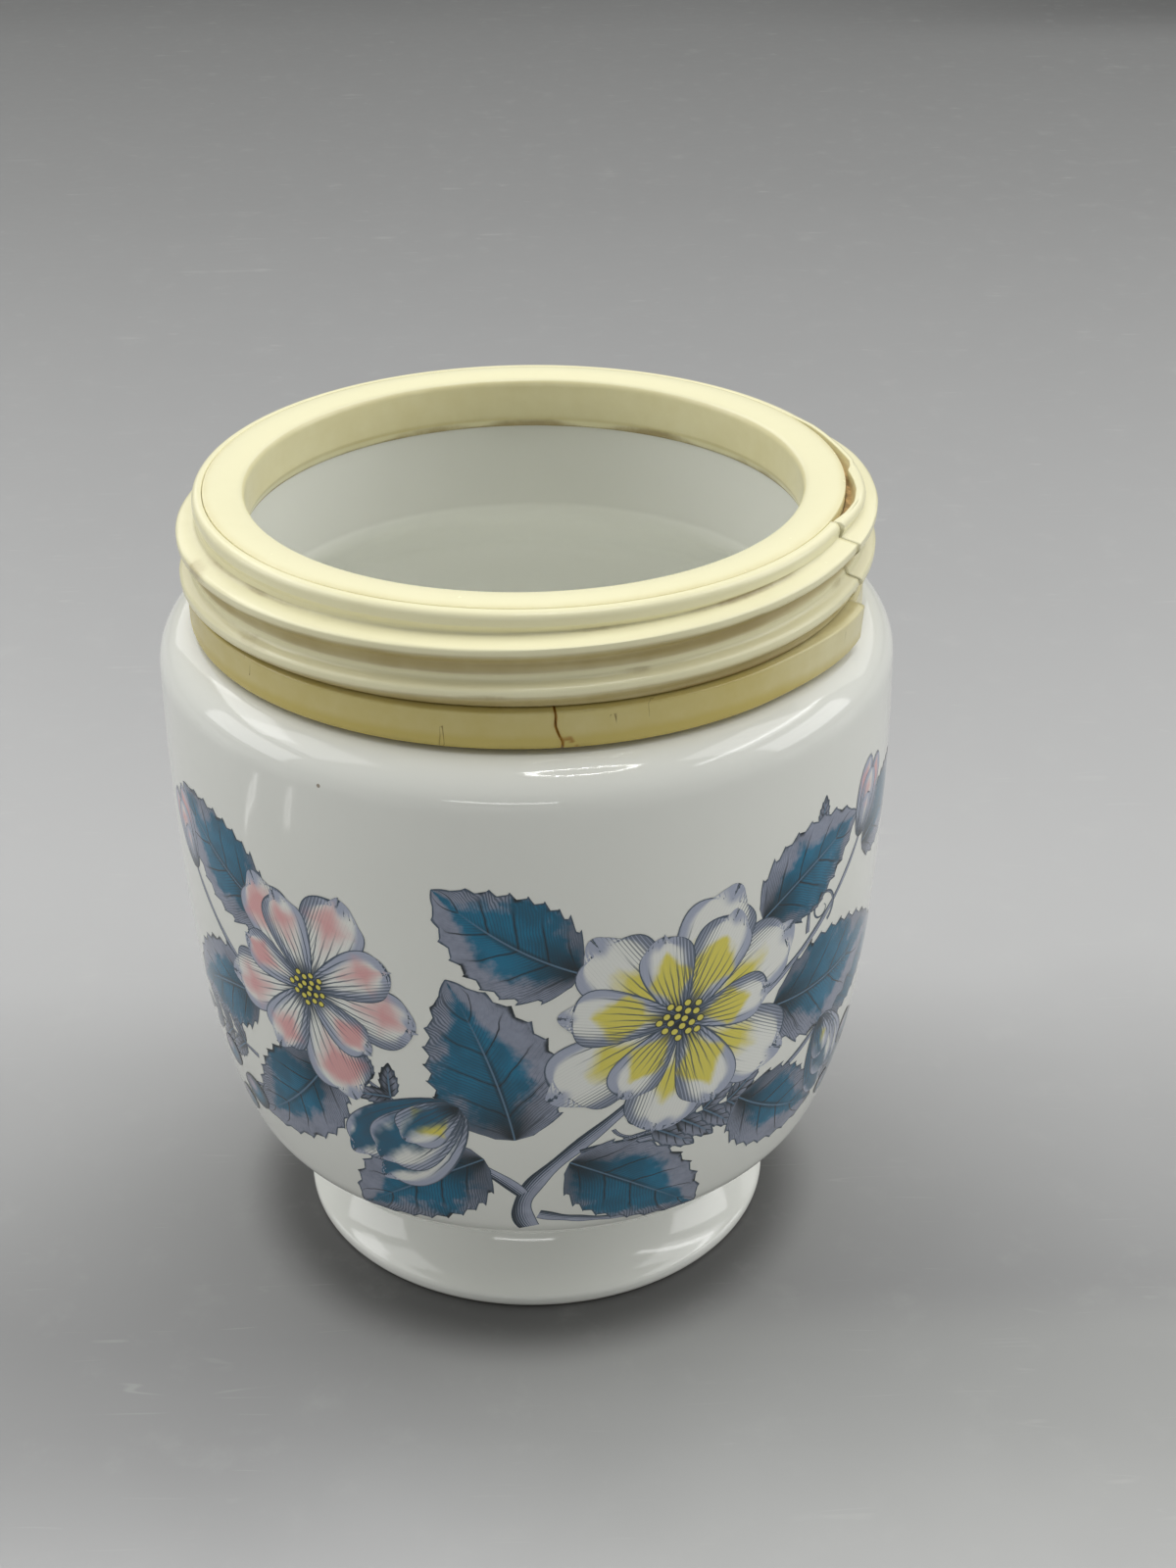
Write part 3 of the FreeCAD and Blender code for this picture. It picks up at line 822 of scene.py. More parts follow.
# Strengths by angle of the shell's stains, and of the painted shade under its ridges.
RIDGE_STAIN = [(-74.0, 0.4), (-50.0, 0.6), (-20.0, 0.3), (6.0, 0.4), (12.0, 0.6), (22.0, 0.45), (34.0, 0.8),
               (42.0, 0.75), (52.0, 0.35)]
# Painted shade under the ridges, by angle: strongest at the front.
FLANK_PAINTED_SHADE = [(-70.0, 0.9), (-45.0, 1.4), (-10.0, 1.9), (18.0, 1.8), (34.0, 1.1), (48.0, 0.75)]
FOOT_STAIN = [(-70.0, 0.8), (-40.0, 0.9), (-5.0, 0.4), (15.0, 0.5), (28.0, 1.0), (46.0, 0.9),
              (64.0, 0.7), (80.0, 0.3)]
# Blotches on the shell: angle and height of the middle, half width in degrees, half height, strength.
BLOTCHES = [(-6.4, 69.6, 9.0, 0.6, 0.62), (16.5, 70.9, 6.0, 0.5, 0.55), (37.0, 73.4, 5.0, 0.5, 0.62),
            (61.0, 71.6, 5.0, 0.8, 0.6), (-66.0, 73.0, 12.0, 1.0, 0.6), (-48.0, 70.0, 9.0, 0.8, 0.58),
            (130.0, 72.6, 11.0, 0.8, 0.62), (171.0, 70.2, 8.0, 0.7, 0.6), (-120.0, 71.5, 12.0, 0.8, 0.62)]
# How far the broken shell has sprung out, in millimetres, by angle.
RIDGE_SPRING = [(60.0, 0.12), (70.0, 0.22), (84.0, 0.36), (100.0, 0.25), (122.0, 0.0)]
LIP_SPRING_OUTSIDE = [(62.0, 0.22), (67.0, 0.34), (71.0, 0.60), (76.0, 0.84), (82.0, 0.86), (87.0, 0.72),
                      (90.5, 0.60), (93.0, 0.52), (97.0, 0.34), (103.0, 0.12), (110.0, 0.03), (118.0, 0.0)]
LIP_SPRING_INSIDE = [(63.0, 0.12), (66.0, 0.22), (70.0, 0.62), (75.0, 0.92), (81.0, 0.86), (86.0, 0.58),
                     (89.5, 0.34), (91.5, 0.66), (94.0, 0.80), (98.0, 0.60), (104.0, 0.42),
                     (112.0, 0.34), (119.0, 0.0)]
# The band's crack: height in millimetres, with its angle in degrees and its width in millimetres.
BAND_SPLIT = [(64.5, 4.9), (65.3, 5.0), (66.0, 4.4), (66.8, 3.9), (67.7, 4.0), (68.8, 3.6)]
BAND_CRACK_WIDTH = [(64.5, 0.12), (65.4, 0.07), (66.3, 0.15), (67.2, 0.12), (68.2, 0.05), (68.8, 0.02)]
# A hooked mark beside it: angle and height.
BAND_HOOK = [(5.3, 65.6), (5.9, 65.7), (6.4, 65.6), (6.7, 65.3), (6.9, 64.9)]
# Hairlines in the band: angle, lower and upper height, and lean in degrees.
BAND_HAIRLINES = [(-50.0, 66.4, 68.1, -0.3), (-13.2, 64.6, 66.6, 0.3), (21.6, 65.2, 66.2, 0.0),
                  (59.6, 66.0, 67.6, 0.8), (13.7, 66.4, 67.4, -0.8), (17.9, 66.6, 68.2, 0.9),
                  (-34.0, 65.6, 67.2, 0.4), (96.0, 65.0, 67.4, 1.0), (141.0, 64.6, 66.5, -0.6),
                  (-121.0, 65.4, 67.8, 0.7), (-164.0, 64.9, 66.6, 0.4)]
# The angle in degrees of the band's broken end, over how many the band springs out to it, how near columns of
# vertices move to the break, and where they stop.
BAND_END, BAND_SWEEP, END_NEAR, END_STOP = 68.8, 26, 0.7, 0.03
# The columns of vertices between these distances from the crack, in degrees, move to a third one.
CRACK_NEAR, CRACK_FAR, CRACK_STOP = 0.45, 1.2, 0.36
# Angles of an open ring in radians: its two faces lie a seam apart before the split opens, the margin and the
# first face's width find the faces again, and the split's bends fade out over the reach.
SEAM, SEAM_MARGIN, FIRST_FACE, SPLIT_REACH = 1e-4, 1e-5, 4e-5, 0.16
SHELL_SPLIT_WIDTH = 0.05 * MM


def split_angle(stops, height):
    """Angle of a split at a height, from stops in millimetres and degrees."""
    return math.radians(follow(height / MM, stops))


def open_ring(points, collar, stops, gap_at):
    """Turn a closed outline almost all the way round, from one face of a split to the other, and close it.

    The split's line follows the stops, and gap_at gives its width at a height.
    """
    start = split_angle(stops, sum(point.y for point in points) / len(points))
    made = spun(points, collar.segments, sweep=math.tau - SEAM, closed=True, start=start)

    def travelled(vert):
        return (azimuth(vert.co) - start + SEAM_MARGIN) % math.tau

    rims = [vert for vert in made.verts if len(vert.link_faces) < 4]
    first = {vert for vert in rims if travelled(vert) < FIRST_FACE}
    for ring in (first, set(rims) - first):
        edges = [edge for edge in made.edges if edge.verts[0] in ring and edge.verts[1] in ring]
        bmesh.ops.contextual_create(made, geom=edges)
    for vert in made.verts:
        way, radius = travelled(vert), off_axis(vert.co)
        shift = split_angle(stops, vert.co.z) - start
        gap = gap_at(vert.co.z) / radius / 2
        opening = gap * (1 - 2 * smooth_step(way, math.pi * 0.98, math.pi * 1.02))
        near = max(1 - smooth_step(way, 0.0, SPLIT_REACH),
                   smooth_step(way, math.tau - SPLIT_REACH, math.tau - 2 * SEAM))
        vert.co = polar(radius, azimuth(vert.co) + (shift + opening) * near, vert.co.z)
    return made


def shell_spring(at, collar, point):
    """How far the broken shell stands out behind its split: its ridges a little, its torn lip more."""
    angle = math.degrees(azimuth(point)) % 360
    ridges = follow(angle, RIDGE_SPRING) * MM
    inside = off_axis(point) < at.bore + 0.4 * collar.lip_wall
    lip = follow(angle, LIP_SPRING_INSIDE if inside else LIP_SPRING_OUTSIDE) * MM
    upward = smooth_step(point.z, at.lip - 1.5 * MM, at.lip - 0.6 * MM)
    return ridges + (lip - ridges) * upward


def shell_wear(at, collar, point, share):
    """Wear of the threaded shell: dirt and painted shade in hollows and under the ridges, stains on the ridge
    and at the foot, rust in the tear.
    """
    angle = math.degrees(azimuth(point))
    radius = off_axis(point)
    under_lip = 1 - smooth_step(abs(point.z - at.lip + collar.groove_drop), 0.2 * MM, 1.0 * MM)
    foot = 1 - smooth_step(point.z, at.band_top + 0.05 * MM, at.band_top + 0.4 * MM)
    ridge_top = ridge_level(at, collar, azimuth(point), 1) + collar.crest_width / 2 + collar.upper_flank
    corner = 1 - smooth_step(abs(point.z - ridge_top), 0.08 * MM, 0.34 * MM)
    stain = max(follow(angle, RIDGE_STAIN) * corner, follow(angle, FOOT_STAIN) * foot)
    for middle, height, width, rise, strength in BLOTCHES:
        away = math.hypot((angle - middle) / width, (point.z / MM - height) / rise)
        stain = max(stain, strength * (1 - smooth_step(away, 0.2, 1.0)))
    depth = smooth_step(at.lip - point.z, 0.25 * MM, 1.0 * MM)
    torn = smooth_step(angle, 64, 68) * (1 - smooth_step(angle, 112, 120))
    inner = 1 - smooth_step(radius, at.bore + 0.95 * MM, at.bore + 1.1 * MM)
    rust = 0.45 * depth * torn * inner * (radius < at.bore + 1.0 * MM)
    # Painted shade: below each ridge the plastic is darkened, most at the front, and made yellower.
    under = 0.0
    for faded, offset in near_ridges(at, collar, point):
        below = smooth_step(-offset, -0.3 * MM, 0.9 * MM) * (1 - smooth_step(-offset, 1.6 * MM, 2.6 * MM))
        under = max(under, faded * below)
    hollow = (1 - share) * 0.2 + 0.1 * under_lip + follow(angle, FLANK_PAINTED_SHADE) * under
    return min(1.0, hollow), 0.25 + 0.5 * under, -rust, stain


class CODDLER_OT_shell(bpy.types.Operator):
    """Turn the collar's threaded shell, which has split and sprung out on the right"""
    bl_idname = "coddler.shell"
    bl_label = "Threaded shell"

    def execute(self, context):
        pot, collar = context.scene.coddler_pot, context.scene.coddler_collar
        at = collar_places(pot, collar)
        bore, lip, root = at.bore, at.lip, at.root
        groove, groove_foot = bore + collar.groove_wall, at.groove_foot
        corners = [
            (bore, at.band_top),
            (root, at.band_top + 0.02 * MM),
            (root, groove_foot - collar.root_rise, 0.6 * MM),
            (groove, groove_foot, 0.3 * MM),
            (groove, groove_foot + collar.groove_width, 0.2 * MM),
            (bore + collar.lip_wall, lip - collar.lip_depth, 0.2 * MM),
            (bore + collar.lip_wall, lip, collar.lip_round),
            (bore, lip, collar.fine_round),
        ]
        made = open_ring(outline(corners, 0.14 * MM, closed=True), collar, SHELL_SPLIT,
                         lambda _: SHELL_SPLIT_WIDTH)
        inner = bore + 0.25 * MM
        layer = made.verts.layers.float_color.new("wear")
        for vert in made.verts:
            radius = off_axis(vert.co)
            share = thread_height(at, collar, vert.co)
            if radius > inner:
                radius = max(radius, radius + (at.crest - radius) * share)
            travelled = (azimuth(vert.co) - split_angle(SHELL_SPLIT, vert.co.z)) % math.tau
            if travelled < math.pi:
                radius += shell_spring(at, collar, vert.co)
            vert.co = polar(radius, azimuth(vert.co), vert.co.z)
            vert[layer] = shell_wear(at, collar, vert.co, share)
        finish = aged_plastic("cream_shell_plastic", collar, 0.15, 1.3)
        finished_piece(made, "threaded_shell", finish, "collar_shell", "thread_sleeve")
        return {"FINISHED"}


def band_wear(at, collar, outer):
    """Wear of the band: stains along both edges, brown cracks and fine hairlines."""
    lines = [(math.radians(angle), low * MM, high * MM, math.radians(lean))
             for angle, low, high, lean in BAND_HAIRLINES]
    hooks = [polar(outer, math.radians(angle), height * MM) for angle, height in BAND_HOOK]

    def rule(point):
        low = 1 - smooth_step(point.z, at.band_foot, at.band_foot + 1.6 * MM)
        split = abs(azimuth(point) - split_angle(BAND_SPLIT, point.z)) * outer
        beside = 1 - smooth_step(split, 0.1 * MM, 0.8 * MM)
        rust = 1 - smooth_step(split, 0.05 * MM, 0.18 * MM)
        hook = min((point - spot).length for spot in hooks)
        rust = max(rust, 0.8 * (1 - smooth_step(hook, 0.05 * MM, 0.3 * MM)))
        top = smooth_step(point.z, at.band_top - collar.band_step - 0.3 * MM, at.band_top)
        angle = math.degrees(azimuth(point))
        paler = smooth_step(angle, 30, 62) * (1 - smooth_step(angle, 105, 170))
        yellow = (0.9 + 0.5 * low) * (1 - 0.4 * paler)
        return 0.25 * low, yellow, near_line(point, lines, 0.6 * MM) - rust, 0.5 * max(beside, low, top)
    return rule


class CODDLER_OT_band(bpy.types.Operator):
    """Turn the collar's plain band, which has cracked through at the front"""
    bl_idname = "coddler.band"
    bl_label = "Plain band"

    def execute(self, context):
        pot, collar = context.scene.coddler_pot, context.scene.coddler_collar
        at = collar_places(pot, collar)
        outer = at.bore + collar.band_wall
        corners = [
            (at.bore, at.band_foot),
            (outer, at.band_foot, collar.band_round),
            (outer, at.band_top - collar.band_step, 0.2 * MM),
            (at.root - 0.1 * MM, at.band_top - 0.16 * MM),
            (at.bore, at.band_top - 0.16 * MM),
        ]

        made = open_ring(outline(corners, 0.22 * MM, closed=True), collar, BAND_SPLIT,
                         lambda height: follow(height / MM, BAND_CRACK_WIDTH) * MM)
        springs = [(at.band_foot, 0.72 * collar.band_spring), (at.band_top, collar.band_spring)]
        for vert in made.verts:
            angle = math.degrees(azimuth(vert.co))
            if abs(angle - BAND_END) < END_NEAR:
                angle = BAND_END + math.copysign(END_STOP, angle - BAND_END)
            front = math.degrees(split_angle(BAND_SPLIT, vert.co.z))
            if CRACK_NEAR < abs(angle - front) < CRACK_FAR:
                angle = front + math.copysign(CRACK_STOP, angle - front)
            spring = follow(vert.co.z, springs) * smooth_step(angle, BAND_END - BAND_SWEEP, BAND_END)
            spring *= angle < BAND_END
            vert.co = polar(off_axis(vert.co) + spring, math.radians(angle), vert.co.z)
        mark_wear(made, band_wear(at, collar, outer))
        finish = aged_plastic("amber_band_plastic", collar, 0.15, 1.15)
        finished_piece(made, "plain_band", finish, "collar_shell", "thread_sleeve")
        return {"FINISHED"}


def cement_finish(name, colour):
    """Rough cement with darker grains."""
    finish = Finish(name)
    place = finish.place()
    grains = finish.noise(place, 900.0, 4.0, 0.7)
    shade = finish.mix(grains.rise(0.35, 0.7), dimmed(colour, 0.45), colour)
    return finish.finished({
        "Base Color": shade,
        "Roughness": 0.85,
        "Normal": finish.bump(grains, 0.15 * MM, 0.8),
    })


# The squeezed bead's corners, in millimetres out from the bore and down from the lip, and its angles.
BEAD = [(-0.02, 2.4), (1.0, 2.4), (0.8, 1.3), (0.02, 1.0)]
BEAD_START, BEAD_SWEEP, BEAD_STEPS = 66, 48, 60


class CODDLER_OT_cement(bpy.types.Operator):
    """Fill the space between neck and collar with cement"""
    bl_idname = "coddler.cement"
    bl_label = "Cement"

    def execute(self, context):
        pot, collar = context.scene.coddler_pot, context.scene.coddler_collar
        at = collar_places(pot, collar)
        low, high = at.neck_foot + pot.edge_round, at.neck_top - pot.edge_round
        corners = [(at.neck_radius, low), (at.bore, low), (at.bore, high), (at.neck_radius, high)]
        ring = spun(outline(corners, 0.5 * MM, closed=True), collar.segments // 2, closed=True)
        corners = [(at.bore + out * MM, at.lip - down * MM) for out, down in BEAD]
        squeezed = spun(outline(corners, 0.2 * MM, closed=True), BEAD_STEPS, math.radians(BEAD_SWEEP),
                        closed=True, start=math.radians(BEAD_START))
        # The squeezed bead takes the lighter cement colour, as painted light.
        for name, made, material, shade in (("squeezed_cement", squeezed, "tan_cement", collar.paste),
                                            ("cement_ring", ring, "brown_cement", collar.cement)):
            finished_piece(made, name, cement_finish(material, shade), "cement", "cement_bed")
        return {"FINISHED"}


# ---------------------------------------------------------------- the print


class Side:
    """Finds places on the pot's side for the print, whose plan is flat and in millimetres.

    Across is measured round the widest ring from the front towards the right, and up is a height on the side.
    """

    def __init__(self, pot):
        heel, shoulder = pot_heights(pot).heel_height, pot.shoulder_height
        path = outline(outside_corners(pot), PATH_STEP)
        self.points = [point for point in path if heel < point.y < shoulder]
        self.climbs = [0.0]
        for low, high in zip(self.points, self.points[1:]):
            self.climbs.append(self.climbs[-1] + (high - low).length)
        self.heights = [point.y for point in self.points]
        self.ring = pot.body_radius

    def read(self, stops, value):
        """The place in the outline at which the stops reach a value, as a point and the way upward."""
        index = min(max(bisect.bisect(stops, value), 1), len(stops) - 1)
        share = (value - stops[index - 1]) / (stops[index] - stops[index - 1])
        low, high = self.points[index - 1], self.points[index]
        climb = self.climbs[index - 1] + share * (self.climbs[index] - self.climbs[index - 1])
        return low.lerp(high, share), (high - low).normalized(), climb

    def spot(self, middle, shift, lift):
        """A point on the side: the middle of a motif in the plan, then a shift from it."""
        climb = self.read(self.heights, middle[1] * MM)[2] + shift[1] * MM
        point, way, _ = self.read(self.climbs, climb)
        angle = middle[0] * MM / self.ring + shift[0] * MM / point.x
        return polar(point.x + way.y * lift, angle, point.y - way.x * lift)


class Print:
    """Lays one ink's motifs on the pot's side. Motifs that overlap lie on different levels, a hair apart."""

    def __init__(self, side, ground):
        self.side = side
        self.ground = ground
        self.made = bmesh.new()
        self.motif = self.made.verts.layers.float_color.new("motif")
        self.tint = self.made.verts.layers.float_color.new("tint")

    def lay(self, middle, shape, grain, tint, level):
        """Lay a grid that a shape bends: shape(along, across) gives its shift, half width and length."""
        columns, rows = grain
        grid = bmesh.ops.create_grid(self.made, x_segments=columns, y_segments=rows, size=1.0)["verts"]
        for vert in grid:
            along, across = (vert.co.x + 1) / 2, vert.co.y
            shift, reach, span = shape(along, across)
            vert[self.motif] = (along, across, reach, span)
            vert[self.tint] = tint
            vert.co = self.side.spot(middle, shift, (self.ground + level) * PRINT_STEP)

    def dot(self, middle, shift, radius, tint):
        """Lay a round dot. Its two motif values run from -1 to 1 across it."""
        disc = bmesh.ops.create_circle(self.made, cap_ends=True, cap_tris=True, segments=20, radius=1.0)
        for vert in disc["verts"]:
            right, up = vert.co.x, vert.co.y
            vert[self.motif] = (right, up, radius, radius)
            vert[self.tint] = tint
            spot = (shift[0] + right * radius, shift[1] + up * radius)
            vert.co = self.side.spot(middle, spot, self.ground * PRINT_STEP)

    def piece(self, name, material):
        """Close the ink's mesh and hang it on the pot."""
        finished_piece(self.made, name, material, "porcelain", outward=True)


def bent(length, bend, direction):
    """A blade's middle line: a point and its sideways direction for each share of the length."""
    turn = Matrix.Rotation(math.radians(direction), 2)

    def at(share):
        point = Vector((share * length, bend * length * share * share))
        way = Vector((1.0, 2 * bend * share)).normalized()
        return turn @ point, turn @ Vector((-way.y, way.x)), turn @ way
    return at


def leaf(direction, length, width, bend, teeth):
    """A pointed leaf with forward teeth."""
    middle_line = bent(length, bend, direction)

    def shape(along, across):
        blade = along ** 0.55 * (1 - along) ** 0.9 / 0.382
        reach = max(0.06, width / 2 * blade)
        tooth = along * teeth % 1.0
        notch = across ** 4 * 0.13 * width * (tooth - 0.35) * min(1.0, 2 * blade)
        out = across * reach + math.copysign(notch, across)
        share = min(1.0, along + 0.25 / teeth * tooth * across ** 4 * blade)
        point, aside, _ = middle_line(share)
        return point + aside * out, reach, length
    return shape


def petal(direction, length, width, bend, ruffle=0.05, waist=0.7):
    """A petal with a narrow root and a ruffled round tip."""
    middle_line = bent(length, bend, direction)

    def shape(along, across):
        share = 1 - (1 - along) ** 1.6
        reach = max(0.05, width / 2 * (share ** waist) * math.sqrt(max(0.0, 1 - share ** 5)) * 1.12)
        wave = ruffle * (math.cos(7.3 * across + 2.1 * direction) - 0.9 * across ** 2) * share ** 5
        point, aside, _ = middle_line(share + wave)
        return point + aside * (across * reach), reach, length
    return shape


def ribbon(spots, thick, thin):
    """A stem through four control spots of the plan, thinner towards its end."""
    first = Vector(spots[0])
    pulls = [Vector(spot) - first for spot in spots]

    def shape(along, across):
        rest = 1 - along
        turning = 6 * rest * along
        slopes = (-3 * rest ** 2, 3 * rest ** 2 - turning, turning - 3 * along ** 2, 3 * along ** 2)
        way = weighted(pulls, slopes).normalized()
        reach = (thick + (thin - thick) * along) / 2 * (1 + 0.12 * math.sin(23 * along))
        point = cubic(pulls, along) + Vector((-way.y, way.x)) * (across * reach)
        return point, reach, (pulls[3] - pulls[0]).length
    return shape


def tendril(direction, size, turns):
    """A thin curl that winds into a spiral."""
    def pointing(angle):
        return Vector((math.cos(angle), math.sin(angle)))

    def shape(along, across):
        way = pointing(math.radians(direction) + turns * math.tau * along)
        point = way * (size * (1 - 0.82 * along)) - pointing(math.radians(direction)) * size
        reach = 0.16 * (1.25 - along)
        return point + way * (across * reach), reach, size * turns * 4
    return shape


def print_finish(name, ink, shades):
    """A glossy ink under the glaze. The shades rule gives its colour."""
    finish = Finish(name)
    place = finish.place()
    return finish.finished({
        "Base Color": shades(finish, place, ink),
        "Roughness": GLAZE_ROUGHNESS,
        "IOR": GLAZE_INDEX,
        "Normal": glaze_relief(finish, place),
    })


def line_near(distance, width):
    """A fine line: 1 where the distance is 0 and 0 where it is the width, both in millimetres."""
    return distance.rise(width, width * 0.35)


def engraved(phase, tone):
    """Engraver's lines, which grow thicker as the tone rises from 0 to 1."""
    wave = abs(phase % 1.0 - 0.5) * 2
    return (wave + tone - 1).rise(-0.12, 0.16)


VEINS = 5.0
STROKES = 4.0


def leaf_shades(finish, place, ink):
    """Grey-lilac leaf with a teal heart, dark veins and engraver's lines."""
    along, across, reach, length_here = finish.spot("motif")
    teal, seed, lean, _ = finish.spot("tint")
    off = abs(across)
    cloud = finish.noise(place, 420.0, 3.0)
    blot = finish.noise(place, 1500.0, 3.0, 0.6)
    heart = teal - off * 0.8 - abs(along - 0.42) * 1.1 + across * lean * 0.22
    heart = (heart + (cloud - 0.5) * 0.9 + (blot - 0.5) * 0.25).rise(0.0, 0.28)
    shade = finish.mix((blot * 0.5 + cloud * 0.5).rise(0.3, 0.75), ink.leaf, dimmed(ink.leaf, 0.72))
    shade = finish.mix(heart, shade, finish.mix(cloud.rise(0.4, 0.7), ink.teal, dimmed(ink.teal, 0.7)))
    phase = (along - off * 0.24) * VEINS + seed + (cloud - 0.5) * 0.25
    side_tone = (across * lean).rise(-0.3, 1.0) * 0.6
    tone = along.rise(0.55, 0.0) * 0.45 + side_tone + off.rise(0.45, 0.0) * 0.35 + (cloud - 0.5) * 0.4
    hatch = engraved(phase * 9.0, tone)
    line_ink = finish.mix(heart, ink.slate, finish.mix(0.45, ink.dark, ink.teal))
    shade = finish.mix(hatch * 0.72, shade, line_ink)
    base = line_near(off * reach, 0.55) * along.rise(0.9, 0.2) * 0.75
    base = (along.rise(0.44, 0.0) * off.rise(0.95, 0.1)).most(base)
    shade = finish.mix(base, shade, ink.dark)
    vein = line_near(abs(phase % 1.0 - 0.5) * length_here / VEINS, 0.13)
    vein = vein * off.rise(0.98, 0.5) * along.rise(0.02, 0.1)
    shade = finish.mix(vein * 0.9, shade, ink.dark)
    rib = line_near(off * reach, 0.12)
    shade = finish.mix(rib * 0.75 * along.rise(0.95, 0.5), shade, finish.mix(0.45, ink.teal, ink.leaf))
    edge = line_near((1 - off) * reach, 0.22) * (0.55 + blot * 0.6)
    shade = finish.mix(edge, shade, ink.slate)
    return finish.mix(((1 - off) * reach).rise(0.5, 0.1) * (cloud.rise(0.56, 0.66)), shade, ink.dark)


def petal_shades(finish, place, ink):
    """Pale petal: a coloured flush, lilac rims, slate strokes from the root, engraver's lines on one side."""
    along, across, reach, length_here = finish.spot("motif")
    yellow, pink, lean, teal = finish.spot("tint")
    off = abs(across)
    cloud = finish.noise(place, 380.0, 3.0)
    blot = finish.noise(place, 1500.0, 3.0, 0.6)
    rim = ((1 - off) * reach).rise(1.8, 0.2).most(along.rise(0.62, 1.0)) + (cloud - 0.5) * 0.5
    shade = finish.mix(rim.rise(0.12, 0.85), ink.petal, ink.lilac)
    flush = 1.0 - abs(along - 0.36) * 2.4 - off * 0.75 + (cloud - 0.5) * 0.7
    shade = finish.mix((flush * yellow).rise(0.18, 0.45), shade, ink.yellow)
    blush = 1.05 - abs(along - 0.56) * 2.2 - abs(across - 0.1) * 0.8 + (cloud - 0.5) * 0.8
    shade = finish.mix((blush * pink).rise(0.15, 0.75) * 0.9, shade, ink.pink)
    pool = 1.1 - along * 0.55 - abs(across + 0.25) * 0.9 + (cloud - 0.5) * 0.8
    shade = finish.mix((pool * teal).rise(0.1, 0.4), shade, finish.mix(cloud, ink.teal, ink.slate))
    phase = across * STROKES + (cloud - 0.5) * 0.5 + lean * 0.3
    ends = along + (finish.noise(finish.joined(phase, lean), 0.9, 0.0) - 0.5) * 0.5
    stroke = line_near(abs(phase % 1.0 - 0.5) * reach / STROKES, 0.10) * ends.rise(0.62, 0.30)
    tone = ((across * lean).rise(0.1, 1.0) * 0.95 + along.rise(0.30, 0.05) * 0.8) * along.rise(0.98, 0.8)
    hatch = engraved(across * reach * 3.2 + along * 1.5, tone)
    shade = finish.mix(hatch * 0.65, shade, ink.slate)
    shade = finish.mix(stroke * 0.85, shade, ink.slate)
    root = along.rise(0.24, 0.02) * off.rise(1.1, 0.2)
    shade = finish.mix(root, shade, ink.dark)
    edge = line_near(((1 - off) * reach).least((1 - along) * length_here * 0.55), 0.16) * (0.65 + blot * 0.5)
    return finish.mix(edge, shade, ink.slate)


def stem_shades(finish, place, ink):
    """Grey stem with a dark side and fine strokes along it."""
    _, across, reach, _ = finish.spot("motif")
    cloud = finish.noise(place, 500.0, 3.0)
    hatch = engraved(across * reach * 4.5 + (cloud - 0.5), across.rise(-0.7, 0.9) * 0.9)
    shade = finish.mix(hatch, finish.mix(cloud.rise(0.3, 0.7), ink.leaf, ink.lilac), ink.slate)
    shade = finish.mix(across.rise(0.25, 0.9) * 0.8, shade, ink.dark)
    return finish.mix(line_near((1 - abs(across)) * reach, 0.12), shade, ink.slate)


def dot_shades(finish, place, ink):
    """Round berries and stamens, dark at the rim and lit on the upper left."""
    right, up, radius, _ = finish.spot("motif")
    yellow, pink, _, navy = finish.spot("tint")
    reach = (right * right + up * up) ** 0.5
    glint = ((right + 0.35) * (right + 0.35) + (up - 0.35) * (up - 0.35)) ** 0.5
    shade = finish.mix(yellow, finish.mix(pink, ink.lilac, ink.pink), ink.yellow)
    deep = finish.mix(reach.rise(0.3, 1.0), ink.teal, ink.dark)
    shade = finish.mix(navy * glint.rise(0.15, 0.75), shade, deep)
    hatch = engraved((right + up) * radius * 3.5, reach.rise(0.2, 1.0) * navy)
    shade = finish.mix(hatch * 0.5, shade, ink.slate)
    return finish.mix(line_near((1 - reach) * radius, 0.14), shade, ink.dark)


PLAIN = (0.0, 0.0, 0.0, 0.0)
STEM_GRAIN = (48, 4)
LEAF_GRAIN = (54, 18)
LEAFLET_GRAIN = (25, 8)
PETAL_GRAIN = (22, 18)
BUD_LEVELS = 4
STAMENS = 19

# The plan of the print. Places are in millimetres, directions in degrees up from the right.
# Four control spots, width at the root and at the tip.
STEMS = [
    (((-1, 15), (-4, 22), (5, 27), (14, 36)), 2.0, 0.9),
    (((-1.5, 20), (-6, 26), (-15, 27), (-21, 37)), 1.3, 0.8),
    (((4, 25), (12, 27), (22, 24), (31, 31)), 1.1, 0.6),
    (((14, 34), (24, 39), (30, 42), (35, 48)), 0.9, 0.5),
    (((-13, 28), (-20, 25), (-27, 27), (-33, 22)), 0.7, 0.4),
    (((-20, 34), (-28, 36), (-33, 40), (-37, 45)), 0.9, 0.5),
    (((22, 26.5), (28, 21), (34, 21), (39, 24)), 0.7, 0.4),
    (((0, 17), (4, 15.5), (7, 15.5), (11, 14.5)), 1.3, 0.3),
    (((103, 26), (105, 31), (104, 37), (107, 44)), 0.9, 0.5),
]
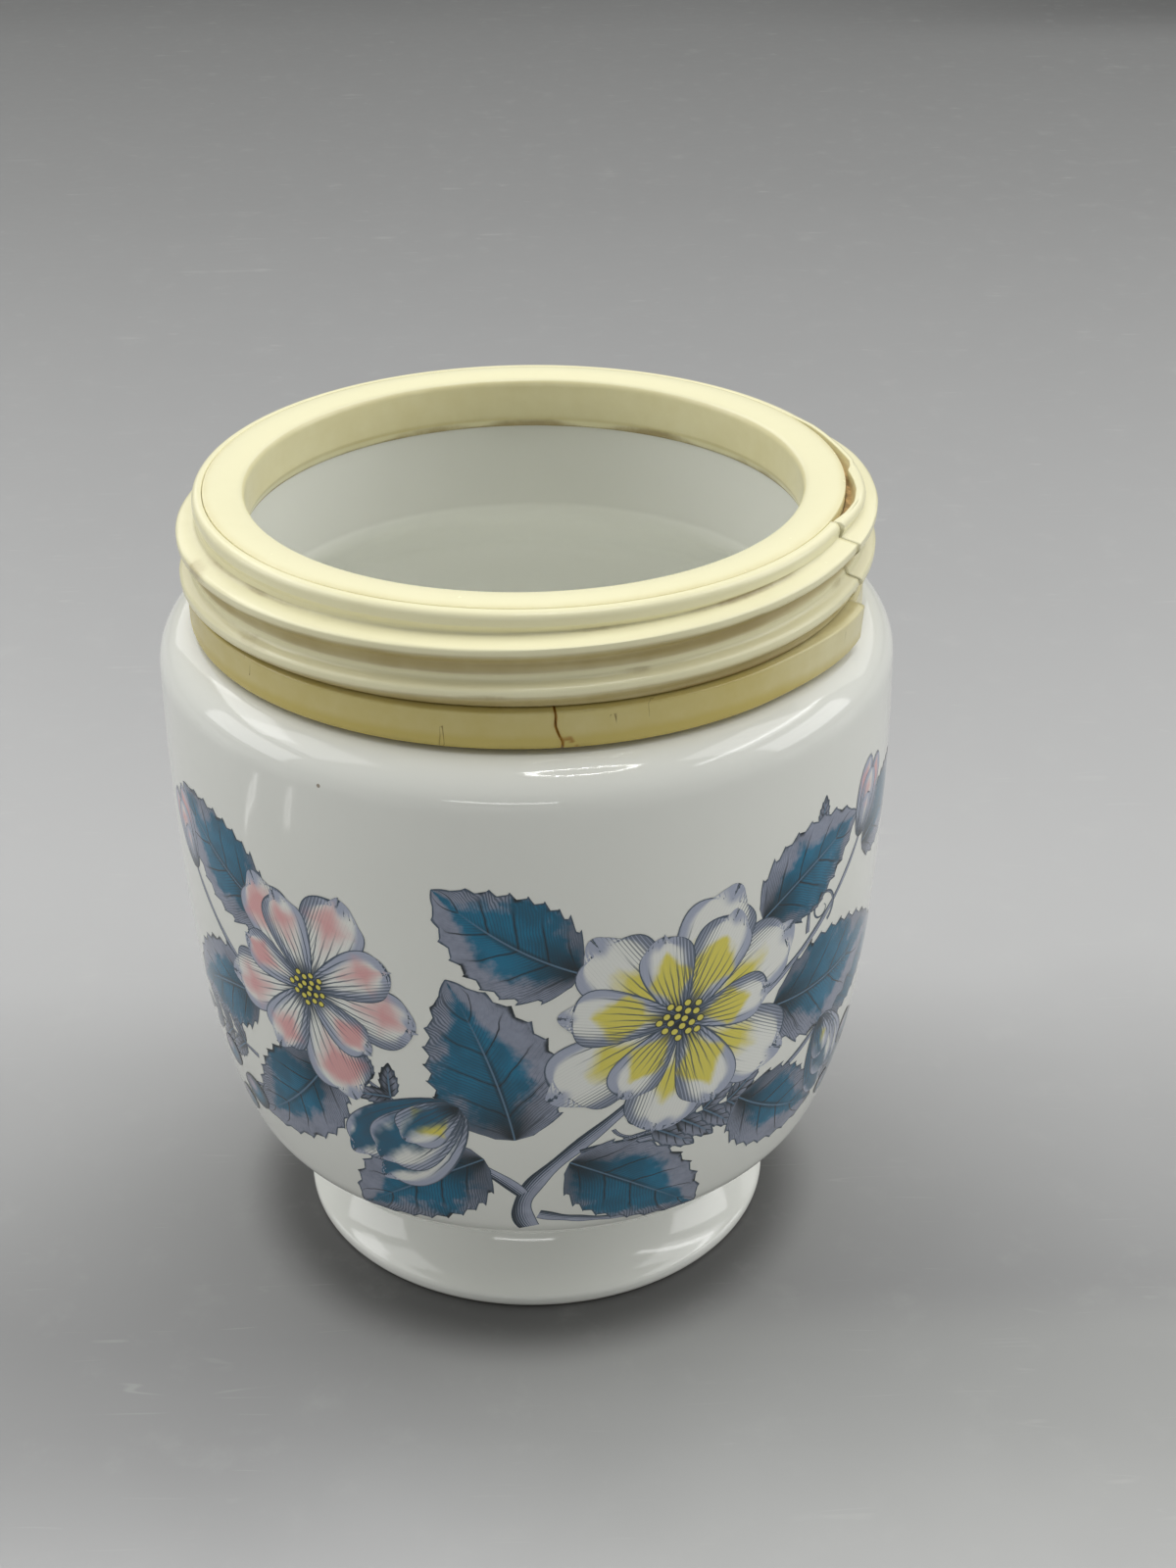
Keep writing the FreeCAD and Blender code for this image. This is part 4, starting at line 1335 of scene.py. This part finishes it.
# Root, direction, length, width, bend and how teal the heart is.
LEAVES = [
    ((-5, 24.5), 212, 16.5, 10.0, 0.15, 0.75),
    ((3, 24), -30, 16.0, 9.6, -0.18, 0.85),
    ((-2, 27), 99, 18.0, 11.0, 0.15, 0.75),
    ((20, 27), -42, 14.0, 8.6, 0.2, 0.7),
    ((4, 45), 158, 14.5, 9.4, -0.2, 0.85),
    ((21, 46), 32, 14.0, 8.6, -0.2, 0.8),
    ((23, 36), -10, 18.0, 10.4, 0.2, 0.85),
    ((-25, 46), 163, 15.0, 9.0, -0.2, 0.85),
    ((-28, 36), 188, 14.0, 8.4, 0.25, 0.8),
    ((-20, 32), 238, 15.5, 9.2, -0.2, 0.7),
    ((31, 31), 24, 14.0, 7.6, -0.25, 0.8),
    ((35, 23), -22, 12.0, 7.0, 0.25, 0.75),
    ((36, 47), 6, 12.0, 6.6, 0.25, 0.75),
    ((104.4, 33), 154, 13.0, 7.8, -0.2, 0.8),
    ((104.6, 36), 22, 12.0, 7.2, 0.2, 0.8),
]
# Start, direction, length, bend and pairs of leaflets.
SPRIGS = [
    ((8, 26), 18, 13.0, -0.25, 4),
    ((-12, 29), 132, 9.0, 0.3, 3),
    ((27, 42), 96, 10.0, -0.2, 3),
    ((-30, 28), 168, 10.0, 0.2, 3),
    ((104, 30), 52, 9.0, -0.3, 3),
]
# Start, direction, size and turns.
TENDRILS = [((7, 27.5), 200, 2.4, 1.3), ((-24, 28.5), 20, 2.0, -1.4), ((30, 42), 300, 2.0, 1.3),
            ((-8, 23), 90, 1.6, 1.2)]
# Middle, radius and how dark.
BERRIES = [((-33, 22), 2.0, 1.0), ((-36.5, 25), 1.7, 0.9), ((-36.3, 19.3), 1.5, 1.0),
           ((39.5, 24.5), 1.9, 1.0), ((43, 21.5), 1.5, 0.9), ((36.5, 19.5), 1.4, 1.0)]
# Middle, radius, number of petals behind and in front, first direction, yellow, pink.
BLOOMS = [
    ((13, 38.5), 12.6, 6, 6, 20, 1.0, 0.0),
    ((-21, 40), 10.8, 5, 5, 62, 0.0, 1.0),
]
# Middle, direction of the tips, length, width, yellow, pink, teal.
BUDS = [
    ((-7, 30.5), 226, 13.0, 11.5, 0.9, 0.0, 1.0),
    ((35, 48), 66, 7.5, 5.6, 0.0, 1.0, 0.0),
    ((31, 30.5), -66, 10.0, 8.0, 0.6, 0.0, 1.0),
    ((-37, 45), 116, 7.5, 5.6, 0.0, 1.0, 0.0),
    ((107, 43), 72, 9.0, 7.4, 0.8, 0.0, 0.9),
]


def lay_bloom(ink, middle, radius, behind, before, first, yellow, pink):
    """An open flower: a ring of wide petals behind a ring of shorter ones."""
    for ring, (count, size, plump) in enumerate(((behind, 1.0, 0.78), (before, 0.78, 0.72))):
        for index in range(count):
            direction = first + 360 / count * (index + 0.5 * ring) + 7 * math.sin(5 * index + ring)
            span = radius * size * (1 + 0.09 * math.sin(3 * index + 2 * ring))
            lean = math.copysign(0.9, math.sin(2.4 * index + 1 + ring))
            tint = (yellow * (0.55 + 0.45 * ring), pink * (0.75 + 0.25 * (index % 2)), lean, 0.0)
            shape = petal(direction, span, span * plump, 0.12 * lean)
            ink.lay(middle, shape, PETAL_GRAIN, tint, BUD_LEVELS + ring * behind + index)


def lay_sprig(stems, leaves, start, direction, span, bend, pairs):
    """A side twig with pairs of slim leaflets and one at its end."""
    middle_line = bent(span, bend, direction)
    spots = [Vector(start) + middle_line(share)[0] for share in (0, 0.33, 0.67, 1)]
    stems.lay(start, ribbon(spots, 0.5, 0.25), STEM_GRAIN, PLAIN, 3)
    for index in range(pairs * 2 + 1):
        share = min(1.0, 0.22 + 0.78 * (index // 2) / pairs)
        point, _, way = middle_line(share)
        turn = 0.0 if index == pairs * 2 else math.copysign(48.0 - 14 * share, index % 2 - 0.5)
        heading = math.degrees(math.atan2(way.y, way.x)) + turn
        size = span * (0.46 - 0.14 * share)
        shape = leaf(heading, size, size * 0.46, 0.1 * math.copysign(1.0, turn), 5)
        tint = (0.12, index * 0.29 % 1.0, 0.8, 0.0)
        leaves.lay(Vector(start) + point, shape, LEAFLET_GRAIN, tint, 0.2 * index)


def lay_bud(ink, middle, direction, span, width, yellow, pink, teal):
    """A half-open bud: two outer petals, an inner one and a small one in front."""
    folds = ((-24, 1.0, 0.62, 0.9), (24, 0.97, 0.62, -0.9), (0, 0.86, 0.7, 0.6), (-9, 0.55, 0.5, -0.6))
    for index, (turn, size, plump, lean) in enumerate(folds):
        tint = (yellow * (index == 3), pink * (1.0 - 0.2 * index), lean, teal * (1.0 - 0.15 * index))
        shape = petal(direction + turn, span * size, width * plump, -0.012 * turn, 0.03, 0.45)
        ink.lay(middle, shape, PETAL_GRAIN, tint, index)


class CODDLER_OT_print(bpy.types.Operator):
    """Lay the flower print on the pot's side"""
    bl_idname = "coddler.print"
    bl_label = "Flower print"

    def execute(self, context):
        inks = context.scene.coddler_print
        side = Side(context.scene.coddler_pot)
        stems, leaves, petals, dots = [Print(side, ground) for ground in (5, 9, 16, 33)]
        for index, (spots, thick, thin) in enumerate(STEMS):
            stems.lay(spots[0], ribbon(spots, thick, thin), STEM_GRAIN, PLAIN, index % 3)
        for middle, direction, size, turns in TENDRILS:
            stems.lay(middle, tendril(direction, size, turns), STEM_GRAIN, PLAIN, 3)
        for sprig in SPRIGS:
            lay_sprig(stems, leaves, *sprig)
        for index, (middle, direction, span, width, bend, teal) in enumerate(LEAVES):
            tint = (teal, index * 0.37 % 1.0, math.copysign(1.0, bend), 0.0)
            leaves.lay(middle, leaf(direction, span, width, bend, 9), LEAF_GRAIN, tint, 2 + index % 5)
        for bud in BUDS:
            lay_bud(petals, *bud)
        for bloom in BLOOMS:
            lay_bloom(petals, *bloom)
        for middle, radius, navy in BERRIES:
            dots.dot(middle, (0.0, 0.0), radius, (0.0, 0.2, 0.0, navy))
        for middle, radius, *_ in BLOOMS:
            for index in range(STAMENS):
                angle, reach = index * 2.4, radius * 0.040 * math.sqrt(index + 0.3)
                shift = (reach * math.cos(angle), reach * math.sin(angle))
                dots.dot(middle, shift, radius * 0.031, (1.0, 0.0, 0.0, 0.0))
        stems.piece("print_stems", print_finish("stem_ink", inks, stem_shades))
        leaves.piece("print_leaves", print_finish("leaf_ink", inks, leaf_shades))
        petals.piece("print_petals", print_finish("petal_ink", inks, petal_shades))
        dots.piece("print_berries", print_finish("berry_ink", inks, dot_shades))
        return {"FINISHED"}


# ---------------------------------------------------------------- the stage


# The table's grey in screen values, by the distance in metres behind the pot's axis.
# Painted light and shade: darker in a band just in front of the pot and far behind it, and lighter far in
# front, which the glaze shows as a painted reflection.
TABLE_PAINTED_LIGHT = [(-0.150, 214), (-0.130, 186), (-0.060, 184), (-0.040, 156), (-0.028, 148), (0.0, 168),
                (0.035, 186), (0.085, 180), (0.142, 172), (0.235, 161), (0.370, 145), (0.520, 134),
                (0.560, 131), (0.620, 122)]
# The painted contact shadow's middle lies this far off the pot's axis.
SHADOW_SHIFT = (0.8 * MM, 1.7 * MM, 0.0)
TABLE_REACH = 3.0


def table_finish(stage):
    """A plain satin table with faint clouds, dust and fine scratches, and painted light and shade: a painted
    contact shadow round the pot, painted shade in front, far away and in the far right corner, and painted
    light in front on the right.
    """
    finish = Finish("plain_table")
    place = finish.place()
    cloud = finish.noise(place, 22.0, 3.0)
    along = finish.node("ShaderNodeSeparateXYZ", {0: place}, "X")
    depth = along.output("Y")
    shadow_place = finish.node("ShaderNodeMapping", {"Vector": place, "Location": SHADOW_SHIFT})
    reach = finish.node("ShaderNodeVectorMath", {0: shadow_place}, "Value", operation="LENGTH")
    near, far = TABLE_PAINTED_LIGHT[0][0], TABLE_PAINTED_LIGHT[-1][0]
    stops = [((spot - near) / (far - near), dimmed(screen(grey, grey, grey), stage.table_level))
             for spot, grey in TABLE_PAINTED_LIGHT]
    drift = (depth + (cloud - 0.5) * 0.02 - near) / (far - near)
    shade = finish.node("ShaderNodeValToRGB", {0: drift}, stops=stops)
    dust = finish.noise(place, 160.0, 5.0, 0.65)
    # Painted light: the table is lightened in front on the right.
    painted_light_front_right = along.rise(-0.03, 0.02) * depth.rise(-0.020, -0.030) * depth.rise(-0.075, -0.050)
    shade = finish.mix(painted_light_front_right * 0.27, shade, stage.table)
    # Painted shade: the far right corner of the table is darkened.
    shade = finish.mix(along.rise(0.05, 0.25) * depth.rise(0.53, 0.60) * 0.4, shade, BLACK)
    # Painted contact shadow: the table is darkened round the pot's foot.
    shade = finish.mix(reach.rise(30.5 * MM, 23.3 * MM) * 0.62, shade, BLACK)
    shade = finish.mix(dust.rise(0.52, 0.80) * 0.12, shade, stage.table)
    for turn, spread in ((0.5, 240.0), (-0.35, 310.0), (1.2, 420.0)):
        way = {"Vector": place, "Rotation": (0.0, 0.0, turn), "Scale": (0.06, 1.0, 1.0)}
        wander = finish.noise(finish.node("ShaderNodeMapping", way), spread, 1.0)
        patches = finish.noise(place, spread * 0.3, 2.0).rise(0.60, 0.72)
        scratch = abs(wander - 0.5).rise(0.010, 0.002) * patches
        shade = finish.mix(scratch * 0.22, shade, stage.table)
    grain = finish.noise(place, 2200.0, 3.0)
    return finish.finished({"Base Color": shade, "Roughness": 0.34 + dust * 0.12,
                            "Normal": finish.bump(grain, 0.006 * MM, 0.4)})


# Name, angle from the front towards the right, angle up from level, distance, width and height, and glow,
# which is 1 for plain white.
SOFTBOXES = [
    ("ceiling_softbox", 180, 84, 1.0, (0.80, 0.80), 3.05),
    ("right_low_softbox", 92, 18, 0.9, (0.55, 0.35), 2.45),
    ("right_high_softbox", 92, 48, 0.9, (0.55, 0.35), 1.9),
    ("left_low_softbox", -92, 18, 0.9, (0.55, 0.35), 2.05),
    ("left_high_softbox", -92, 48, 0.9, (0.55, 0.35), 1.6),
    ("right_back_softbox", 138, 30, 0.9, (0.50, 0.50), 0.8),
    ("left_back_softbox", -150, 25, 0.9, (0.30, 0.50), 0.9),
    ("left_window", -120, 42, 0.85, (0.62, 0.20), 2.5),
    ("right_strip", 88, 42, 0.85, (0.80, 0.05), 4.5),
    ("front_strip", -8, 5, 0.9, (0.50, 0.035), 7.0),
]


# Glowing lines on the table, in millimetres, which show as reflections on the pot's left side.
TABLE_GLINTS = [((-141, -24), (-132, -14), (-124, -10), (-114, -7)), ((-136, -20), (-126, -15), (-120, -8)),
                ((-135, -56), (-128, -46), (-117, -41)), ((-131, -52), (-123, -47), (-116, -43))]
GLINT_LEVEL, GLINT_HALF_WIDTH, GLINT_GLOW = 0.5, 0.8 * MM, 3.0
# The ring of small round lamps overhead: its middle, half width and half depth in metres, and its lamps.
RING_MIDDLE = (0.105, -0.18, 0.6)
RING_WIDE, RING_DEEP = 0.108, 0.085
RING_LAMPS, RING_LAMP_RADIUS, RING_GLOW = 22, 0.0095, 36.0
LAMP_TARGET = (0.0, 0.0, 0.05)


def add_softbox(name, angle, height, distance, size, glow):
    """A soft rectangular lamp that hangs round the pot and faces it."""
    target = Vector(LAMP_TARGET)
    level = math.cos(math.radians(height)) * distance
    place = target + polar(level, math.radians(angle), math.sin(math.radians(height)) * distance)
    lamp = bpy.data.lights.new(name, "AREA")
    lamp.shape = "RECTANGLE"
    lamp.size, lamp.size_y = size
    lamp.energy = glow * math.pi * size[0] * size[1]
    made = hung(name, lamp)
    made.location = place
    made.rotation_euler = (target - place).to_track_quat("-Z", "Y").to_euler()
    return made


def glow_finish(name, strength):
    """A lamp's glowing face."""
    finish = Finish(name)
    glow = finish.node("ShaderNodeEmission", {"Color": (1.0, 1.0, 0.97, 1.0), "Strength": strength})
    finish.node("ShaderNodeOutputMaterial", {"Surface": glow})
    return finish.material


def add_glints():
    """Small lamps that only show as reflections: a ring of round ones overhead and lines on the table."""
    made = bmesh.new()
    x, y, height = RING_MIDDLE
    for index in range(RING_LAMPS):
        turn = math.tau * index / RING_LAMPS
        middle = Vector((x + RING_WIDE * math.cos(turn), y + RING_DEEP * math.sin(turn), height))
        bmesh.ops.create_circle(made, cap_ends=True, segments=8, radius=RING_LAMP_RADIUS,
                                matrix=Matrix.Translation(middle))
    for spots in TABLE_GLINTS:
        for start, end in zip(spots, spots[1:]):
            start, end = Vector((*start, GLINT_LEVEL)) * MM, Vector((*end, GLINT_LEVEL)) * MM
            aside = (end - start).normalized().cross(Vector((0.0, 0.0, GLINT_HALF_WIDTH)))
            corners = (start - aside, end - aside, end + aside, start + aside)
            face = made.faces.new([made.verts.new(corner) for corner in corners])
            face.material_index = 1
    glows = glow_finish("ring_lamp", RING_GLOW), glow_finish("table_glint", GLINT_GLOW)
    glints = meshed("glints", made, *glows)
    for ray in ("camera", "diffuse", "transmission", "shadow"):
        setattr(glints, "visible_" + ray, False)


def add_room(stage):
    """A pale grey room round the table, which shines evenly from all sides."""
    world = bpy.data.worlds.new("room")
    world.use_nodes = True
    background = world.node_tree.nodes["Background"]
    background.inputs["Color"].default_value = (*stage.room, 1.0)
    background.inputs["Strength"].default_value = stage.room_level
    bpy.context.scene.world = world


def add_camera(stage):
    """The camera, on an arm that looks down at the pot."""
    fall, yaw, pitch, roll = stage.camera_fall, stage.camera_yaw, stage.camera_pitch, stage.camera_roll
    upright = Matrix.Rotation(math.pi / 2 - fall, 3, "X")
    nod = Matrix.Rotation(roll, 3, "Z") @ Matrix.Rotation(pitch, 3, "X") @ Matrix.Rotation(yaw, 3, "Y")
    camera = bpy.data.cameras.new("view_camera")
    camera.sensor_fit = "VERTICAL"
    camera.sensor_height = 36.0
    camera.lens = stage.lens
    camera.clip_start = 0.01
    camera.clip_end = 20.0
    made = hung("view_camera", camera)
    turn = upright @ nod.transposed()
    made.matrix_world = Matrix.Translation(stage.camera_place) @ turn.to_4x4()
    bpy.context.scene.camera = made


class CODDLER_OT_stage(bpy.types.Operator):
    """Lay the table, hang the lamps and stand the camera"""
    bl_idname = "coddler.stage"
    bl_label = "Stage"

    def execute(self, context):
        stage = context.scene.coddler_stage
        made = bmesh.new()
        bmesh.ops.create_grid(made, x_segments=4, y_segments=4, size=TABLE_REACH)
        table = meshed("table", made, table_finish(stage))
        for softbox in SOFTBOXES:
            add_softbox(*softbox).visible_glossy = softbox[0] != "ceiling_softbox"
        add_glints()
        add_room(stage)
        add_camera(stage)
        context.scene.view_settings.view_transform = "Standard"
        return {"FINISHED"}


# ---------------------------------------------------------------- add-on


class CODDLER_PT_panel(bpy.types.Panel):
    """The pieces of the egg coddler"""
    bl_label = "Egg Coddler"
    bl_idname = "CODDLER_PT_panel"
    bl_space_type = "VIEW_3D"
    bl_region_type = "UI"
    bl_category = "Coddler"

    def draw(self, context):
        for key in GROUPS:
            box, group = self.layout.box(), getattr(context.scene, key)
            for name in group.__annotations__:
                box.prop(group, name)
        for piece in PIECES:
            self.layout.operator(piece.bl_idname)


PIECES = (
    CODDLER_OT_pot,
    CODDLER_OT_cement,
    CODDLER_OT_cap,
    CODDLER_OT_band,
    CODDLER_OT_shell,
    CODDLER_OT_print,
    CODDLER_OT_stage,
)
GROUPS = {
    "coddler_pot": PotSettings,
    "coddler_collar": CollarSettings,
    "coddler_print": PrintSettings,
    "coddler_stage": StageSettings,
}
CLASSES = (*GROUPS.values(), *PIECES, CODDLER_PT_panel)


def register():
    """Register the classes and hang the settings on the scene."""
    for item in CLASSES:
        bpy.utils.register_class(item)
    for name, group in GROUPS.items():
        setattr(bpy.types.Scene, name, PointerProperty(type=group))


def unregister():
    """Take the settings and classes away again."""
    for name in GROUPS:
        delattr(bpy.types.Scene, name)
    for item in reversed(CLASSES):
        bpy.utils.unregister_class(item)


def main():
    """Build every piece in order."""
    register()
    for piece in PIECES:
        group, name = piece.bl_idname.split(".")
        getattr(getattr(bpy.ops, group), name)()


if __name__ == "__main__":
    main()
